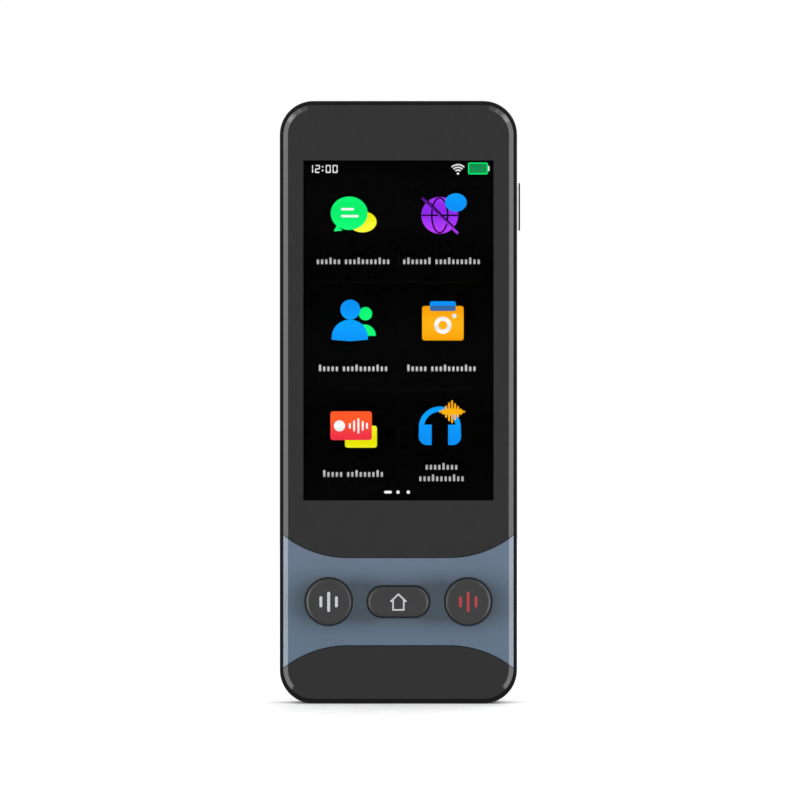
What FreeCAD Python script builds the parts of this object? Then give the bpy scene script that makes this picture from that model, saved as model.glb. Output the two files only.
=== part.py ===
import FreeCAD, Part
import math
import operator
import os
import Sketcher

# Handheld translator, standing on its bottom end. X runs to the right seen from the front, Y from the
# screen to the back, Z from the bottom end to the top. The origin is the middle of the bottom end.
# Depths are counted in millimetres from the face of the cover glass towards the back.

# Driving dimensions, in millimetres
SIZES = {
    # Whole body
    "body_width": 62.0,
    "body_length": 157.5,
    "body_depth": 13.0,
    "corner_radius": 8.8,
    # Front pieces and the lip of the frame round them
    "lip_side": 0.82,
    "lip_top": 1.02,
    "lip_bottom": 1.19,
    "lip_drop": 0.75,
    "front_round": 0.6,
    "skin_depth": 1.1,
    "skin_gap": 0.08,
    "seam_gap": 0.15,
    "bevel_width": 1.3,
    "bevel_drop": 0.45,
    "bevel_round": 0.8,
    "panel_drop": 0.2,
    "tape_depth": 0.15,
    "tape_inset": 0.4,
    # Display
    "view_side_border": 6.15,
    "view_low_border": 53.1,
    "view_top_border": 15.6,
    "module_border": 1.6,
    "module_ledge": 3.5,
    "module_gap": 0.4,
    "well_round": 1.0,
    "adhesive_depth": 0.2,
    "cell_depth": 1.4,
    "backlight_depth": 1.4,
    "backlight_short": 3.0,
    # Button band: the straight middle and the round ends of its two seams
    "band_low": 15.2,
    "band_high": 38.2,
    "band_flat": 13.2,
    "band_arc": 27.0,
    # Front buttons
    "talk_offset": 18.2,
    "talk_diameter": 11.9,
    "home_length": 15.9,
    "home_width": 7.7,
    "button_gap": 0.3,
    "button_proud": 0.9,
    "button_round": 0.45,
    "hole_round": 0.35,
    "rest_gap": 0.05,
    "collar_wall": 0.9,
    "collar_depth": 1.9,
    "flange_reach": 0.9,
    "flange_depth": 0.6,
    "post_diameter": 3.0,
    "post_reach": 0.4,
    # Symbols let into the front buttons
    "legend_depth": 0.3,
    "legend_gap": 0.03,
    "bar_width": 0.75,
    "bar_pitch": 2.03,
    "long_bar": 5.25,
    "short_bar": 2.9,
    "house_rise": 2.25,
    "house_drop": 2.3,
    "house_eave": 2.2,
    "house_wall": 1.6,
    "house_stroke": 0.4,
    # Switches under the buttons
    "switch_side": 4.5,
    "switch_depth": 1.2,
    "plunger_diameter": 2.0,
    "plunger_gap": 0.05,
    "plunger_reach": 0.45,
    "plunger_seat": 0.3,
    "plunger_room": 0.75,
    "key_board_depth": 0.8,
    "key_well_border": 1.8,
    "key_well_side_border": 4.0,
    "key_well_round": 2.0,
    "board_gap": 0.4,
    # Frame
    "frame_wall": 1.6,
    "plate_depth": 0.8,
    "boss_diameter": 4.4,
    "board_rise": 1.5,
    "screw_diameter": 1.4,
    "screw_length": 2.0,
    "screw_head": 3.0,
    "screw_head_depth": 0.6,
    "screw_gap": 0.03,
    # Power button in the right side wall
    "power_drop": 27.45,
    "power_depth": 6.8,
    "power_length": 12.5,
    "power_width": 2.4,
    "power_proud": 0.9,
    "power_gap": 0.15,
    "power_round": 0.4,
    "power_flange": 0.5,
    "power_flange_depth": 0.7,
    "power_post": 0.6,
    "side_switch_high": 3.5,
    "side_switch_wide": 2.8,
    "side_plunger": 1.4,
    "side_board_depth": 0.6,
    "side_board_high": 11.0,
    "side_board_wide": 3.4,
    "rest_wall": 1.0,
    # Rear cover
    "cover_depth": 3.0,
    "rear_wall": 1.5,
    "rear_round": 2.8,
    "tongue_depth": 1.4,
    "tongue_wall": 0.8,
    "tongue_gap": 0.1,
    "clip_length": 5.0,
    "clip_depth": 0.6,
    "clip_reach": 0.35,
    "clip_gap": 0.12,
    "clip_inset": 0.4,
    "clip_low": 30.0,
    "clip_pitch": 40.0,
    # Camera and flash in the rear cover
    "camera_inset": 16.5,
    "ring_diameter": 14.0,
    "ring_seat": 0.8,
    "ring_proud": 0.6,
    "ring_ledge": 0.4,
    "ring_round": 0.3,
    "ring_gap": 0.05,
    "window_diameter": 9.0,
    "window_depth": 0.7,
    "sight_diameter": 7.6,
    "camera_side": 8.5,
    "camera_depth": 4.5,
    "barrel_diameter": 6.4,
    "barrel_gap": 0.2,
    "lens_diameter": 4.0,
    "lens_depth": 0.5,
    "lens_sink": 0.6,
    "flash_drop": 11.5,
    "flash_diameter": 4.0,
    "flash_stem": 3.0,
    "led_side": 2.2,
    "led_depth": 0.7,
    "led_gap": 0.3,
    # Boards and what they carry
    "main_board_depth": 1.0,
    "main_board_high": 54.6,
    "main_board_short": 5.7,
    "main_tail_high": 18.0,
    "screw_inset": 4.5,
    "can_inset": 7.0,
    "can_width": 28.0,
    "can_high": 30.0,
    "can_depth": 2.0,
    "can_sheet": 0.25,
    "chip_side": 12.0,
    "chip_depth": 1.2,
    "memory_width": 9.0,
    "memory_depth": 0.9,
    "chip_border": 1.5,
    "flex_depth": 0.2,
    "display_flex_width": 12.0,
    "connector_depth": 0.5,
    "connector_high": 2.6,
    "fold_rise": 1.8,
    "flex_window": 1.0,
    # Battery
    "battery_side_gap": 6.9,
    "battery_low_gap": 6.0,
    "battery_top_gap": 3.0,
    "battery_back_gap": 0.85,
    "battery_round": 1.6,
    "battery_border": 4.0,
    "lead_width": 6.0,
    "lead_lap": 3.0,
    # Flex between the boards
    "main_flex_inset": 3.2,
    "main_flex_width": 3.0,
    "main_flex_lap": 4.0,
    "plug_low": 7.0,
    "plug_high": 10.0,
    # Bottom end: USB board, port and microphone
    "usb_board_depth": 0.8,
    "usb_board_inset": 3.0,
    "usb_board_high": 13.4,
    "usb_board_round": 3.0,
    "usb_board_rise": 0.8,
    "usb_screw_inset": 5.6,
    "usb_boss_height": 8.0,
    "usb_room_side": 18.0,
    "usb_room_high": 13.5,
    "usb_room_front": 3.4,
    "port_width": 8.94,
    "port_height": 3.26,
    "port_wall": 0.3,
    "port_sink": 0.25,
    "port_length": 7.3,
    "port_back": 0.6,
    "port_gap": 0.08,
    "tongue_width": 6.7,
    "tongue_thick": 0.7,
    "tongue_sink": 0.75,
    "tongue_base": 1.5,
    "tongue_fit": 0.02,
    "mic_hole": 1.0,
    "mic_bore": 0.8,
    "mic_width": 3.6,
    "mic_high": 3.5,
    "mic_depth": 1.1,
    "mic_seal": 1.4,
    "mic_tall": 2.8,
    "top_mic_across": -10.0,
    "bottom_mic_across": 14.0,
    # Speaker and its grille
    "speaker_width": 24.0,
    "speaker_high": 14.0,
    "seal_depth": 1.5,
    "speaker_height": 27.5,
    "speaker_round": 1.5,
    "mesh_depth": 0.2,
    "grille_hole": 1.2,
    "grille_pitch": 2.4,
    "grille_border": 1.1,
    "seal_wall": 1.2,
    # Key flex
    "key_flex_width": 8.0,
    "key_notch": 1.6,
    "flex_lap": 2.6,
    # Antenna
    "antenna_left": -20.0,
    "antenna_width": 24.0,
    "antenna_high": 10.0,
    "antenna_drop": 5.5,
    "antenna_depth": 0.15,
}
# Numbers that aren't lengths
GRILLE_COLUMNS = 7
GRILLE_ROWS = 3
CLIP_COUNT = 3


class Size:
    """A length together with the sheet expression that gives it."""

    def __init__(self, value, text):
        self.value = float(value)
        self.text = text

    def __add__(self, other):
        return joined(self, "+", other, operator.add)

    def __radd__(self, other):
        return joined(other, "+", self, operator.add)

    def __sub__(self, other):
        return joined(self, "-", other, operator.sub)

    def __rsub__(self, other):
        return joined(other, "-", self, operator.sub)

    def __mul__(self, other):
        return joined(self, "*", other, operator.mul)

    def __rmul__(self, other):
        return joined(other, "*", self, operator.mul)

    def __truediv__(self, other):
        return joined(self, "/", other, operator.truediv)

    def __neg__(self):
        return joined(0, "-", self, operator.sub)


def as_size(number):
    if isinstance(number, Size):
        return number
    return Size(number, str(float(number)))


def joined(left, sign, right, action):
    left = as_size(left)
    right = as_size(right)
    return Size(action(left.value, right.value), f"({left.text} {sign} {right.text})")


class Lengths:
    """The driving dimensions by name."""

    def __init__(self, sizes):
        for name, value in sizes.items():
            setattr(self, name, Size(value, f"Sizes.{name}"))


def make_sheet():
    """Fills the sheet with the driving dimensions, one named cell each."""
    sheet = document.addObject("Spreadsheet::Sheet", "Sizes")
    for row, (name, value) in enumerate(SIZES.items(), start=1):
        sheet.set(f"A{row}", name)
        sheet.set(f"B{row}", str(value))
        sheet.setAlias(f"B{row}", name)
    document.recompute()


def bind(item, path, length):
    """Ties one property of an object to the sheet."""
    item.setExpression(path, as_size(length).text)


# Outlines: each function below returns one that draws a closed outline, fully sized, into a sketch.


def pin(sketch, kind, places, length):
    """Adds one dimension to a sketch and ties it to the sheet."""
    length = as_size(length)
    index = sketch.addConstraint(Sketcher.Constraint(kind, *places, length.value))
    bind(sketch, f"Constraints[{index}]", length)


def pin_point(sketch, shape, end, across, along):
    """Sets where a point of a sketch lies, counted from the sketch's origin."""
    pin(sketch, "DistanceX", (-1, 1, shape, end), across)
    pin(sketch, "DistanceY", (-1, 1, shape, end), along)


def values(*lengths):
    return [as_size(length).value for length in lengths]


def spot(point):
    return FreeCAD.Vector(point[0], point[1], 0)


def ring_at(centre, radius):
    return Part.Circle(spot(centre), FreeCAD.Vector(0, 0, 1), radius)


def trace(sketch, steps, sharp):
    """Draws a closed chain of lines (two points) and arcs (centre, radius and two angles).

    Each shape runs smoothly into the next, but for the joints whose numbers are in sharp.
    """
    shapes = []
    for step in steps:
        if len(step) == 2:
            shapes.append((sketch.addGeometry(Part.LineSegment(spot(step[0]), spot(step[1]))), 1, 2))
            continue
        centre, radius, begin, end = step
        first, last = sorted((math.radians(begin), math.radians(end)))
        shape = sketch.addGeometry(Part.ArcOfCircle(ring_at(centre, radius), first, last))
        shapes.append((shape, 1, 2) if end > begin else (shape, 2, 1))
    for number, (here, after) in enumerate(zip(shapes, shapes[1:] + shapes[:1])):
        kind = "Coincident" if number in sharp else "Tangent"
        sketch.addConstraint(Sketcher.Constraint(kind, here[0], here[2], after[0], after[1]))
    return [shape for shape, _, _ in shapes]


def level(sketch, shapes):
    for shape in shapes:
        sketch.addConstraint(Sketcher.Constraint("Horizontal", shape))


def upright(sketch, shapes):
    for shape in shapes:
        sketch.addConstraint(Sketcher.Constraint("Vertical", shape))


def same_radius(sketch, arcs, radius):
    pin(sketch, "Radius", (arcs[0],), radius)
    for arc in arcs[1:]:
        sketch.addConstraint(Sketcher.Constraint("Equal", arcs[0], arc))


def circle(radius, across=0, along=0):
    def draw(sketch):
        shape = sketch.addGeometry(ring_at(values(across, along), as_size(radius).value))
        pin_point(sketch, shape, 3, across, along)
        pin(sketch, "Radius", (shape,), radius)

    return draw


def polygon(*corners):
    """Straight edges through corners that are given as pairs of lengths."""

    def draw(sketch):
        points = [values(*corner) for corner in corners]
        steps = list(zip(points, points[1:] + points[:1]))
        shapes = trace(sketch, steps, range(len(steps)))
        for shape, (across, along) in zip(shapes, corners):
            pin_point(sketch, shape, 1, across, along)

    return draw


def plain_box(left, right, low, high):
    return polygon((left, low), (right, low), (right, high), (left, high))


def round_box(left, right, low, high, radius):
    """A rectangle with equal round corners."""

    def draw(sketch):
        west, east, south, north, bend = values(left, right, low, high, radius)
        steps = [
            ((east - bend, south + bend), bend, -90, 0),
            ((east, south + bend), (east, north - bend)),
            ((east - bend, north - bend), bend, 0, 90),
            ((east - bend, north), (west + bend, north)),
            ((west + bend, north - bend), bend, 90, 180),
            ((west, north - bend), (west, south + bend)),
            ((west + bend, south + bend), bend, 180, 270),
            ((west + bend, south), (east - bend, south)),
        ]
        shapes = trace(sketch, steps, ())
        upright(sketch, shapes[1::4])
        level(sketch, shapes[3::4])
        same_radius(sketch, shapes[::2], radius)
        pin(sketch, "DistanceX", (-1, 1, shapes[1], 1), right)
        pin(sketch, "DistanceX", (-1, 1, shapes[5], 1), left)
        pin(sketch, "DistanceY", (-1, 1, shapes[3], 1), high)
        pin(sketch, "DistanceY", (-1, 1, shapes[7], 1), low)

    return draw


def centred_box(width, height, across, along, radius=None):
    """A rectangle about its middle, with round corners if a radius is given."""
    sides = (across - width / 2, across + width / 2, along - height / 2, along + height / 2)
    return plain_box(*sides) if radius is None else round_box(*sides, radius)


def pill(length, width, across=0, along=0, standing=False):
    """A slot outline with full round ends, lying or standing."""

    def draw(sketch):
        x, z, long, wide = values(across, along, length, width)
        bend = wide / 2
        reach = long / 2 - bend
        if standing:
            steps = [
                ((x, z + reach), bend, 0, 180),
                ((x - bend, z + reach), (x - bend, z - reach)),
                ((x, z - reach), bend, 180, 360),
                ((x + bend, z - reach), (x + bend, z + reach)),
            ]
        else:
            steps = [
                ((x + reach, z), bend, -90, 90),
                ((x + reach, z + bend), (x - reach, z + bend)),
                ((x - reach, z), bend, 90, 270),
                ((x - reach, z - bend), (x + reach, z - bend)),
            ]
        shapes = trace(sketch, steps, ())
        straight = (as_size(length) - width) / 2
        shift = (0, straight) if standing else (straight, 0)
        pin_point(sketch, shapes[0], 3, across + shift[0], along + shift[1])
        pin_point(sketch, shapes[2], 3, across - shift[0], along - shift[1])
        same_radius(sketch, shapes[::2], as_size(width) / 2)

    return draw


def together(*outlines):
    """Several outlines in one sketch; one inside another leaves a hole."""

    def draw(sketch):
        for outline in outlines:
            outline(sketch)

    return draw


def past_seam(turn, inset, kept):
    """All that lies past the upper seam (turn 1) or the lower one (turn -1) of the band.

    The seam is straight in the middle and bends away from the band in an arc to each side. What is
    kept is the piece at the end of the body or the band, and its edge is drawn in by an inset.
    """

    def draw(sketch):
        seam = mm.band_high if turn > 0 else mm.band_low
        back = mm.seam_gap / 2 + inset
        shift = back if kept == "end" else -back
        upwards = (turn > 0) == (kept == "band")
        seam_at = seam + turn * shift
        far_at = mm.body_length if upwards else as_size(0)
        arc_size = mm.band_arc - shift
        side, near, far, arc, flat = values(body_side, seam_at, far_at, arc_size, mm.band_flat)
        reach = math.degrees(math.acos((side - flat) / arc))
        hub = near + turn * arc
        meet = hub - turn * math.sqrt(arc**2 - (side - flat) ** 2)
        steps = [
            ((-flat, near), (flat, near)),
            ((flat, hub), arc, -90 * turn, -reach * turn),
            ((side, meet), (side, far)),
            ((side, far), (-side, far)),
            ((-side, far), (-side, meet)),
            ((-flat, hub), arc, (180 + reach) * turn, 270 * turn),
        ]
        shapes = trace(sketch, steps, (1, 2, 3, 4))
        level(sketch, (shapes[0], shapes[3]))
        upright(sketch, (shapes[2], shapes[4]))
        same_radius(sketch, (shapes[1], shapes[5]), arc_size)
        pin_point(sketch, shapes[0], 1, -mm.band_flat, seam_at)
        pin(sketch, "DistanceX", (-1, 1, shapes[0], 2), mm.band_flat)
        pin(sketch, "DistanceX", (-1, 1, shapes[2], 1), body_side)
        pin(sketch, "DistanceX", (-1, 1, shapes[4], 1), -body_side)
        pin(sketch, "DistanceY", (-1, 1, shapes[3], 1), far_at)

    return draw


def body_outline(inset=0):
    """The outline of the whole body seen from the front, drawn in by an inset."""
    side = mm.body_width / 2 - inset
    return round_box(-side, side, as_size(inset), mm.body_length - inset, mm.corner_radius - inset)


def skin_outline(inset=0):
    """The common outline of the front pieces, drawn in by an inset."""
    side = glass_side - inset
    return round_box(-side, side, chin_low + inset, glass_top - inset, skin_round - inset)


def module_outline(grow=0):
    """The outline of the display module, drawn larger by a clearance."""
    side = module_side + grow
    return round_box(-side, side, module_low - grow, module_top + grow, mm.well_round)


def key_well_outline(inset=0):
    side = key_well_side - inset
    low = key_well_low + inset
    high = key_well_high - inset
    return round_box(-side, side, low, high, mm.key_well_round - inset)


class Piece:
    """One physical piece: a body made of blocks and cuts that are given by the places they run between."""

    def __init__(self, label):
        self.body = document.addObject("PartDesign::Body", label)
        self.body.Label = label
        self.body.AllowCompound = True
        pieces.append(self.body)

    def feature(self, kind, name, grows, fill):
        """Adds a feature on top of the last one and makes sure that it changed the piece as it should."""
        before = self.body.Tip
        volume = before.Shape.Volume if before else 0.0
        made = self.body.newObject(f"PartDesign::{kind}", name)
        fill(made, before)
        self.body.Tip = made
        document.recompute()
        change = made.Shape.Volume - volume
        if abs(change) < 1e-6 or (change > 0) != grows:
            raise RuntimeError(f"{self.body.Label}: {made.Name} changed nothing")
        return self

    def sketch(self, outline, view, place):
        """A sketch seen from the front, from the right side or from above, at its place."""
        role = {"front": "XZ_Plane", "side": "YZ_Plane", "top": "XY_Plane"}[view]
        plane = [f for f in self.body.Origin.OriginFeatures if f.Role == role][0]
        drawing = self.body.newObject("Sketcher::SketchObject", "Outline")
        drawing.AttachmentSupport = [(plane, "")]
        drawing.MapMode = "FlatFace"
        bind(drawing, "AttachmentOffset.Base.z", half_depth - place if view == "front" else place)
        outline(drawing)
        return drawing

    def block(self, outline, near, far, view="front"):
        """A block between two depths, or between two places along X (side) or Z (top)."""
        drawing = self.sketch(outline, view, far if view == "front" else near)

        def fill(made, before):
            made.Profile = drawing
            bind(made, "Length", far - as_size(near))

        return self.feature("Pad", "Block", True, fill)

    def cut(self, outline, near, far, view="front"):
        """A cut between two places, given as for a block."""
        drawing = self.sketch(outline, view, near if view == "front" else far)

        def fill(made, before):
            made.Profile = drawing
            bind(made, "Length", far - as_size(near))

        return self.feature("Pocket", "Cut", False, fill)

    def edges(self, chosen):
        """Names of the edges whose middle point passes a test."""
        names = []
        for number, edge in enumerate(self.body.Tip.Shape.Edges, start=1):
            middle = edge.valueAt((edge.FirstParameter + edge.LastParameter) / 2)
            if chosen(middle):
                names.append(f"Edge{number}")
        return names

    def round_edges(self, radius, chosen):
        names = self.edges(chosen)

        def fill(made, before):
            made.Base = (before, names)
            bind(made, "Radius", radius)

        return self.feature("Fillet", "Round", False, fill)

    def bevel_edges(self, wide, deep, chosen):
        """A slope, wide across the front and deep down the side."""
        names = self.edges(chosen)

        def fill(made, before):
            made.Base = (before, names)
            made.ChamferType = "Two distances"
            bind(made, "Size", deep)
            bind(made, "Size2", wide)

        return self.feature("Chamfer", "Bevel", False, fill)

    def put(self, across=None, height=None):
        """Moves the whole piece from the origin to its place."""
        if across is not None:
            bind(self.body, "Placement.Base.x", across)
        if height is not None:
            bind(self.body, "Placement.Base.z", height)
        document.recompute()
        return self


def at_depth(depth):
    """A test for points that lie at one depth."""
    place = (as_size(depth) - half_depth).value
    return lambda point: abs(point.y - place) < 1e-4


document = FreeCAD.newDocument("Translator")
pieces = []
make_sheet()
mm = Lengths(SIZES)

# Places worked out from the driving dimensions
half_depth = mm.body_depth / 2
body_side = mm.body_width / 2
inner_side = body_side - mm.frame_wall
inner_top = mm.body_length - mm.frame_wall
# Front pieces
glass_side = body_side - mm.lip_side - mm.skin_gap
glass_top = mm.body_length - mm.lip_top - mm.skin_gap
chin_low = mm.lip_bottom + mm.skin_gap
skin_round = mm.corner_radius - mm.lip_side - mm.skin_gap
recess_back = mm.skin_depth + mm.tape_depth
# Display, from the glass backwards
view_side = body_side - mm.view_side_border
view_low = mm.view_low_border
view_high = mm.body_length - mm.view_top_border
module_side = view_side + mm.module_border
module_low = view_low - mm.module_border
module_top = view_high + mm.module_ledge
cell_front = mm.skin_depth + mm.adhesive_depth
backlight_front = cell_front + mm.cell_depth
backlight_top = module_top - mm.backlight_short
plate_front = backlight_front + mm.backlight_depth
plate_back = plate_front + mm.plate_depth
# Front buttons, from their caps backwards to the floor that carries the key board
button_height = (mm.band_low + mm.band_high) / 2
key_well_side = body_side - mm.key_well_side_border
key_well_low = mm.band_low + mm.key_well_border
key_well_high = mm.band_high - mm.key_well_border
cap_front = mm.panel_drop - mm.button_proud
flange_front = mm.collar_depth + mm.rest_gap
flange_back = flange_front + mm.flange_depth
post_back = flange_back + mm.post_reach
switch_front = post_back + mm.plunger_reach
key_board_front = switch_front + mm.switch_depth
key_floor_front = key_board_front + mm.key_board_depth
key_floor_back = key_floor_front + mm.plate_depth
# Rear half
frame_back = mm.body_depth - mm.cover_depth
cover_inside = mm.body_depth - mm.rear_wall
tongue_inset = mm.frame_wall + mm.tongue_gap
tongue_front = frame_back - mm.tongue_depth
main_board_front = plate_back + mm.board_rise
main_board_back = main_board_front + mm.main_board_depth
cover_room = mm.tongue_gap + mm.tongue_wall + mm.board_gap
rear_step = mm.band_high + mm.key_well_border
main_board_side = inner_side - cover_room
main_board_top = inner_top - cover_room
main_board_low = main_board_top - mm.main_board_high
main_board_right = main_board_side - mm.main_board_short
can_left = mm.can_inset - main_board_side
can_right = can_left + mm.can_width
can_low = main_board_low + mm.can_inset
can_high = can_low + mm.can_high
usb_board_front = key_floor_back + mm.usb_board_rise
usb_board_back = usb_board_front + mm.usb_board_depth
port_depth = usb_board_front - mm.port_height / 2
battery_front = plate_back + mm.tape_depth
battery_back = cover_inside - mm.battery_back_gap
battery_side = inner_side - mm.battery_side_gap
battery_low = rear_step + mm.battery_low_gap
battery_high = main_board_low - mm.battery_top_gap
mesh_front = cover_inside - mm.mesh_depth
speaker_back = mesh_front - mm.seal_depth
usb_board_side = inner_side - mm.usb_board_inset
ring_front = mm.body_depth - mm.ring_seat
ring_back = mm.body_depth + mm.ring_proud
window_front = ring_front + mm.ring_ledge
camera_back = plate_back + mm.camera_depth
barrel_back = ring_front - mm.barrel_gap
camera_across = body_side - mm.camera_inset
camera_height = mm.body_length - mm.camera_inset
flash_height = camera_height - mm.flash_drop
# Power button, from its outer face inwards
power_height = mm.body_length - mm.power_drop
power_flange_out = inner_side - mm.rest_gap
power_flange_in = power_flange_out - mm.power_flange_depth
power_post_in = power_flange_in - mm.power_post
side_switch_out = power_post_in - mm.plunger_reach
side_board_out = side_switch_out - mm.switch_depth
side_board_in = side_board_out - mm.side_board_depth
side_board_back = plate_back + mm.side_board_wide
rest_wall_in = side_board_in - mm.rest_wall
power_y = mm.power_depth - half_depth
port_y = port_depth - half_depth
top_mic_back = main_board_back + mm.mic_depth
top_mic_y = (main_board_back + top_mic_back) / 2 - half_depth

BOARD_SCREWS = [
    (across, height)
    for across in (mm.screw_inset - main_board_side, main_board_right - mm.screw_inset)
    for height in (main_board_low + mm.screw_inset, main_board_top - mm.screw_inset)
]
USB_SCREWS = [(side * (usb_board_side - mm.usb_screw_inset), mm.usb_boss_height) for side in (-1, 1)]
CLIPS = [
    (side, mm.clip_low + number * mm.clip_pitch) for side in (-1, 1) for number in range(CLIP_COUNT)
]


def circles(radius, places):
    return together(*[circle(radius, *place) for place in places])


def rim_test(inset):
    """A test for the outer edges of the front pieces, or for the same line drawn in by an inset."""
    low, high, bend = values(chin_low + inset, glass_top - inset, skin_round - inset)
    side = (glass_side - inset).value

    def on_rim(point):
        across = abs(point.x) - (side - bend)
        along = max(low + bend - point.z, point.z - (high - bend))
        beyond = math.hypot(across, along) if min(across, along) > 0 else max(across, along)
        return abs(beyond - bend) < 1e-3

    return on_rim


def slope_rim(piece, front):
    """Slopes the outer edges of a front piece and softens the line where the slope begins."""
    at_front = at_depth(front)
    outer = rim_test(0)
    piece.bevel_edges(mm.bevel_width, mm.bevel_drop, lambda p: at_front(p) and outer(p))
    inner = rim_test(mm.bevel_width)
    piece.round_edges(mm.bevel_round, lambda p: at_front(p) and inner(p))


# Front pieces and the tapes that hold them


def cut_at_seams(piece, seams, inset, near, far):
    """Ends a front piece at the seams that it has: one for an end piece, both for the band."""
    kept = "end" if len(seams) == 1 else "band"
    for turn in seams:
        piece.cut(past_seam(turn, inset, kept), near, far)


def make_front_piece(label, seams, front):
    piece = Piece(label)
    piece.block(skin_outline(), front, mm.skin_depth)
    slope_rim(piece, front)
    cut_at_seams(piece, seams, as_size(0), front, mm.skin_depth)
    return piece


def make_tape(label, seams):
    tape = Piece(label)
    tape.block(skin_outline(mm.tape_inset), mm.skin_depth, recess_back)
    cut_at_seams(tape, seams, mm.tape_inset, mm.skin_depth, recess_back)
    return tape


def button_outlines(grow):
    """The three button outlines on the band, drawn larger by a clearance."""
    talk = mm.talk_diameter / 2 + grow
    length = mm.home_length + 2 * grow
    width = mm.home_width + 2 * grow
    return together(
        circle(talk, -mm.talk_offset, button_height),
        pill(length, width, 0, button_height),
        circle(talk, mm.talk_offset, button_height),
    )


def make_button_panel():
    """The moulded band, with a collar behind each button hole."""
    panel = make_front_piece("button_panel", (-1, 1), mm.panel_drop)
    panel.block(button_outlines(mm.button_gap + mm.collar_wall), mm.skin_depth, mm.collar_depth)
    panel.cut(button_outlines(mm.button_gap), mm.panel_drop, mm.collar_depth)
    at_front = at_depth(mm.panel_drop)
    reach = (mm.talk_diameter / 2 + mm.button_gap + mm.talk_offset).value + 1e-3
    tall = (mm.talk_diameter / 2 + mm.button_gap).value + 1e-3
    middle = button_height.value
    panel.round_edges(
        mm.hole_round, lambda p: at_front(p) and abs(p.x) < reach and abs(p.z - middle) < tall
    )


def make_tapes():
    window = module_outline(mm.module_gap + mm.tape_inset)
    make_tape("glass_tape", (1,)).cut(window, mm.skin_depth, recess_back)
    make_tape("panel_tape", (-1, 1)).cut(key_well_outline(-mm.tape_inset), mm.skin_depth, recess_back)
    make_tape("chin_tape", (-1,))


# Display


def make_display():
    border = mm.module_border / 2
    side = view_side + border
    adhesive = Piece("optical_adhesive")
    sides = (-side, side, view_low - border, view_high + border)
    adhesive.block(plain_box(*sides), mm.skin_depth, cell_front)
    cell = Piece("lcd_cell")
    cell.block(plain_box(-module_side, module_side, module_low, module_top), cell_front, backlight_front)
    backlight = Piece("backlight_unit")
    backlight.block(
        plain_box(-module_side, module_side, module_low, backlight_top), backlight_front, plate_front
    )


def side_profile(*corners):
    """A polygon seen from the right side, through corners given as depth and height."""
    return polygon(*[(depth - half_depth, height) for depth, height in corners])


def make_display_flex():
    """Leaves the ledge of the cell, folds over the frame's plate and ends at the main board."""
    thick = mm.flex_depth
    front = backlight_front
    back = main_board_front - mm.connector_depth
    fold = module_top + mm.fold_rise
    connector_low = camera_height - mm.camera_side / 2
    start = backlight_top + (module_top - backlight_top) / 4
    flex = Piece("display_flex")
    corners = (
        (front, start),
        (front, fold),
        (back, fold),
        (back, connector_low),
        (back - thick, connector_low),
        (back - thick, fold - thick),
        (front + thick, fold - thick),
        (front + thick, start),
    )
    half = mm.display_flex_width / 2
    flex.block(side_profile(*corners), -half, half, "side")
    connector = Piece("display_connector")
    sides = (-half, half, connector_low, connector_low + mm.connector_high)
    connector.block(plain_box(*sides), back, main_board_front)


# Front buttons


def bars(middle, sides, width):
    """Three upright bars about the origin, with round ends."""
    return together(
        pill(sides, width, -mm.bar_pitch, 0, True),
        pill(middle, width, 0, 0, True),
        pill(sides, width, mm.bar_pitch, 0, True),
    )


def voice_symbol(grow):
    grow = as_size(grow)
    return bars(mm.long_bar + 2 * grow, mm.short_bar + 2 * grow, mm.bar_width + 2 * grow)


def house_symbol(grow):
    """A house drawn as one line; grow widens the line to both sides."""
    grow = as_size(grow)
    stroke = mm.house_stroke
    eave = mm.house_eave + grow
    wall = mm.house_wall + grow
    shoulder = stroke / 8
    outer = polygon(
        (0, mm.house_rise + 1.4 * grow),
        (eave, stroke / 2 + grow),
        (eave - stroke / 3, -shoulder - grow),
        (wall, -shoulder - grow),
        (wall, -mm.house_drop - grow),
        (-wall, -mm.house_drop - grow),
        (-wall, -shoulder - grow),
        (stroke / 3 - eave, -shoulder - grow),
        (-eave, stroke / 2 + grow),
    )
    room = mm.house_wall - stroke - grow
    inner = polygon(
        (0, mm.house_rise - 1.4 * (stroke + grow)),
        (room, stroke * 1.3 - grow),
        (room, stroke + grow - mm.house_drop),
        (-room, stroke + grow - mm.house_drop),
        (-room, stroke * 1.3 - grow),
    )
    return together(outer, inner)


def make_button(label, outline, symbol, across):
    """A cap that stands out of its hole, a flange that holds it in and a post that reaches its switch."""
    button = Piece(f"{label}_button")
    button.block(outline(0), cap_front, flange_front)
    button.round_edges(mm.button_round, at_depth(cap_front))
    button.block(outline(mm.flange_reach), flange_front, flange_back)
    button.block(circle(mm.post_diameter / 2), flange_back, post_back)
    button.cut(symbol(mm.legend_gap), cap_front, cap_front + mm.legend_depth + mm.legend_gap)
    button.put(across, button_height)
    legend = Piece(f"{label}_legend")
    legend.block(symbol(0), cap_front, cap_front + mm.legend_depth)
    legend.put(across, button_height)


def make_switch(label, across):
    """A tact switch: a housing with a blind hole, and the plunger that its button's post pushes."""
    radius = mm.plunger_diameter / 2
    side = mm.switch_side
    housing = Piece(f"{label}_switch")
    housing.block(centred_box(side, side, 0, 0, mm.flex_depth), switch_front, key_board_front)
    housing.cut(circle(radius + mm.plunger_gap), switch_front, switch_front + mm.plunger_room)
    housing.put(across, button_height)
    plunger = Piece(f"{label}_plunger")
    plunger.block(circle(radius), post_back, switch_front + mm.plunger_seat)
    plunger.put(across, button_height)


def talk_outline(grow):
    return circle(mm.talk_diameter / 2 + grow)


def home_outline(grow):
    return pill(mm.home_length + 2 * as_size(grow), mm.home_width + 2 * as_size(grow))


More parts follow.
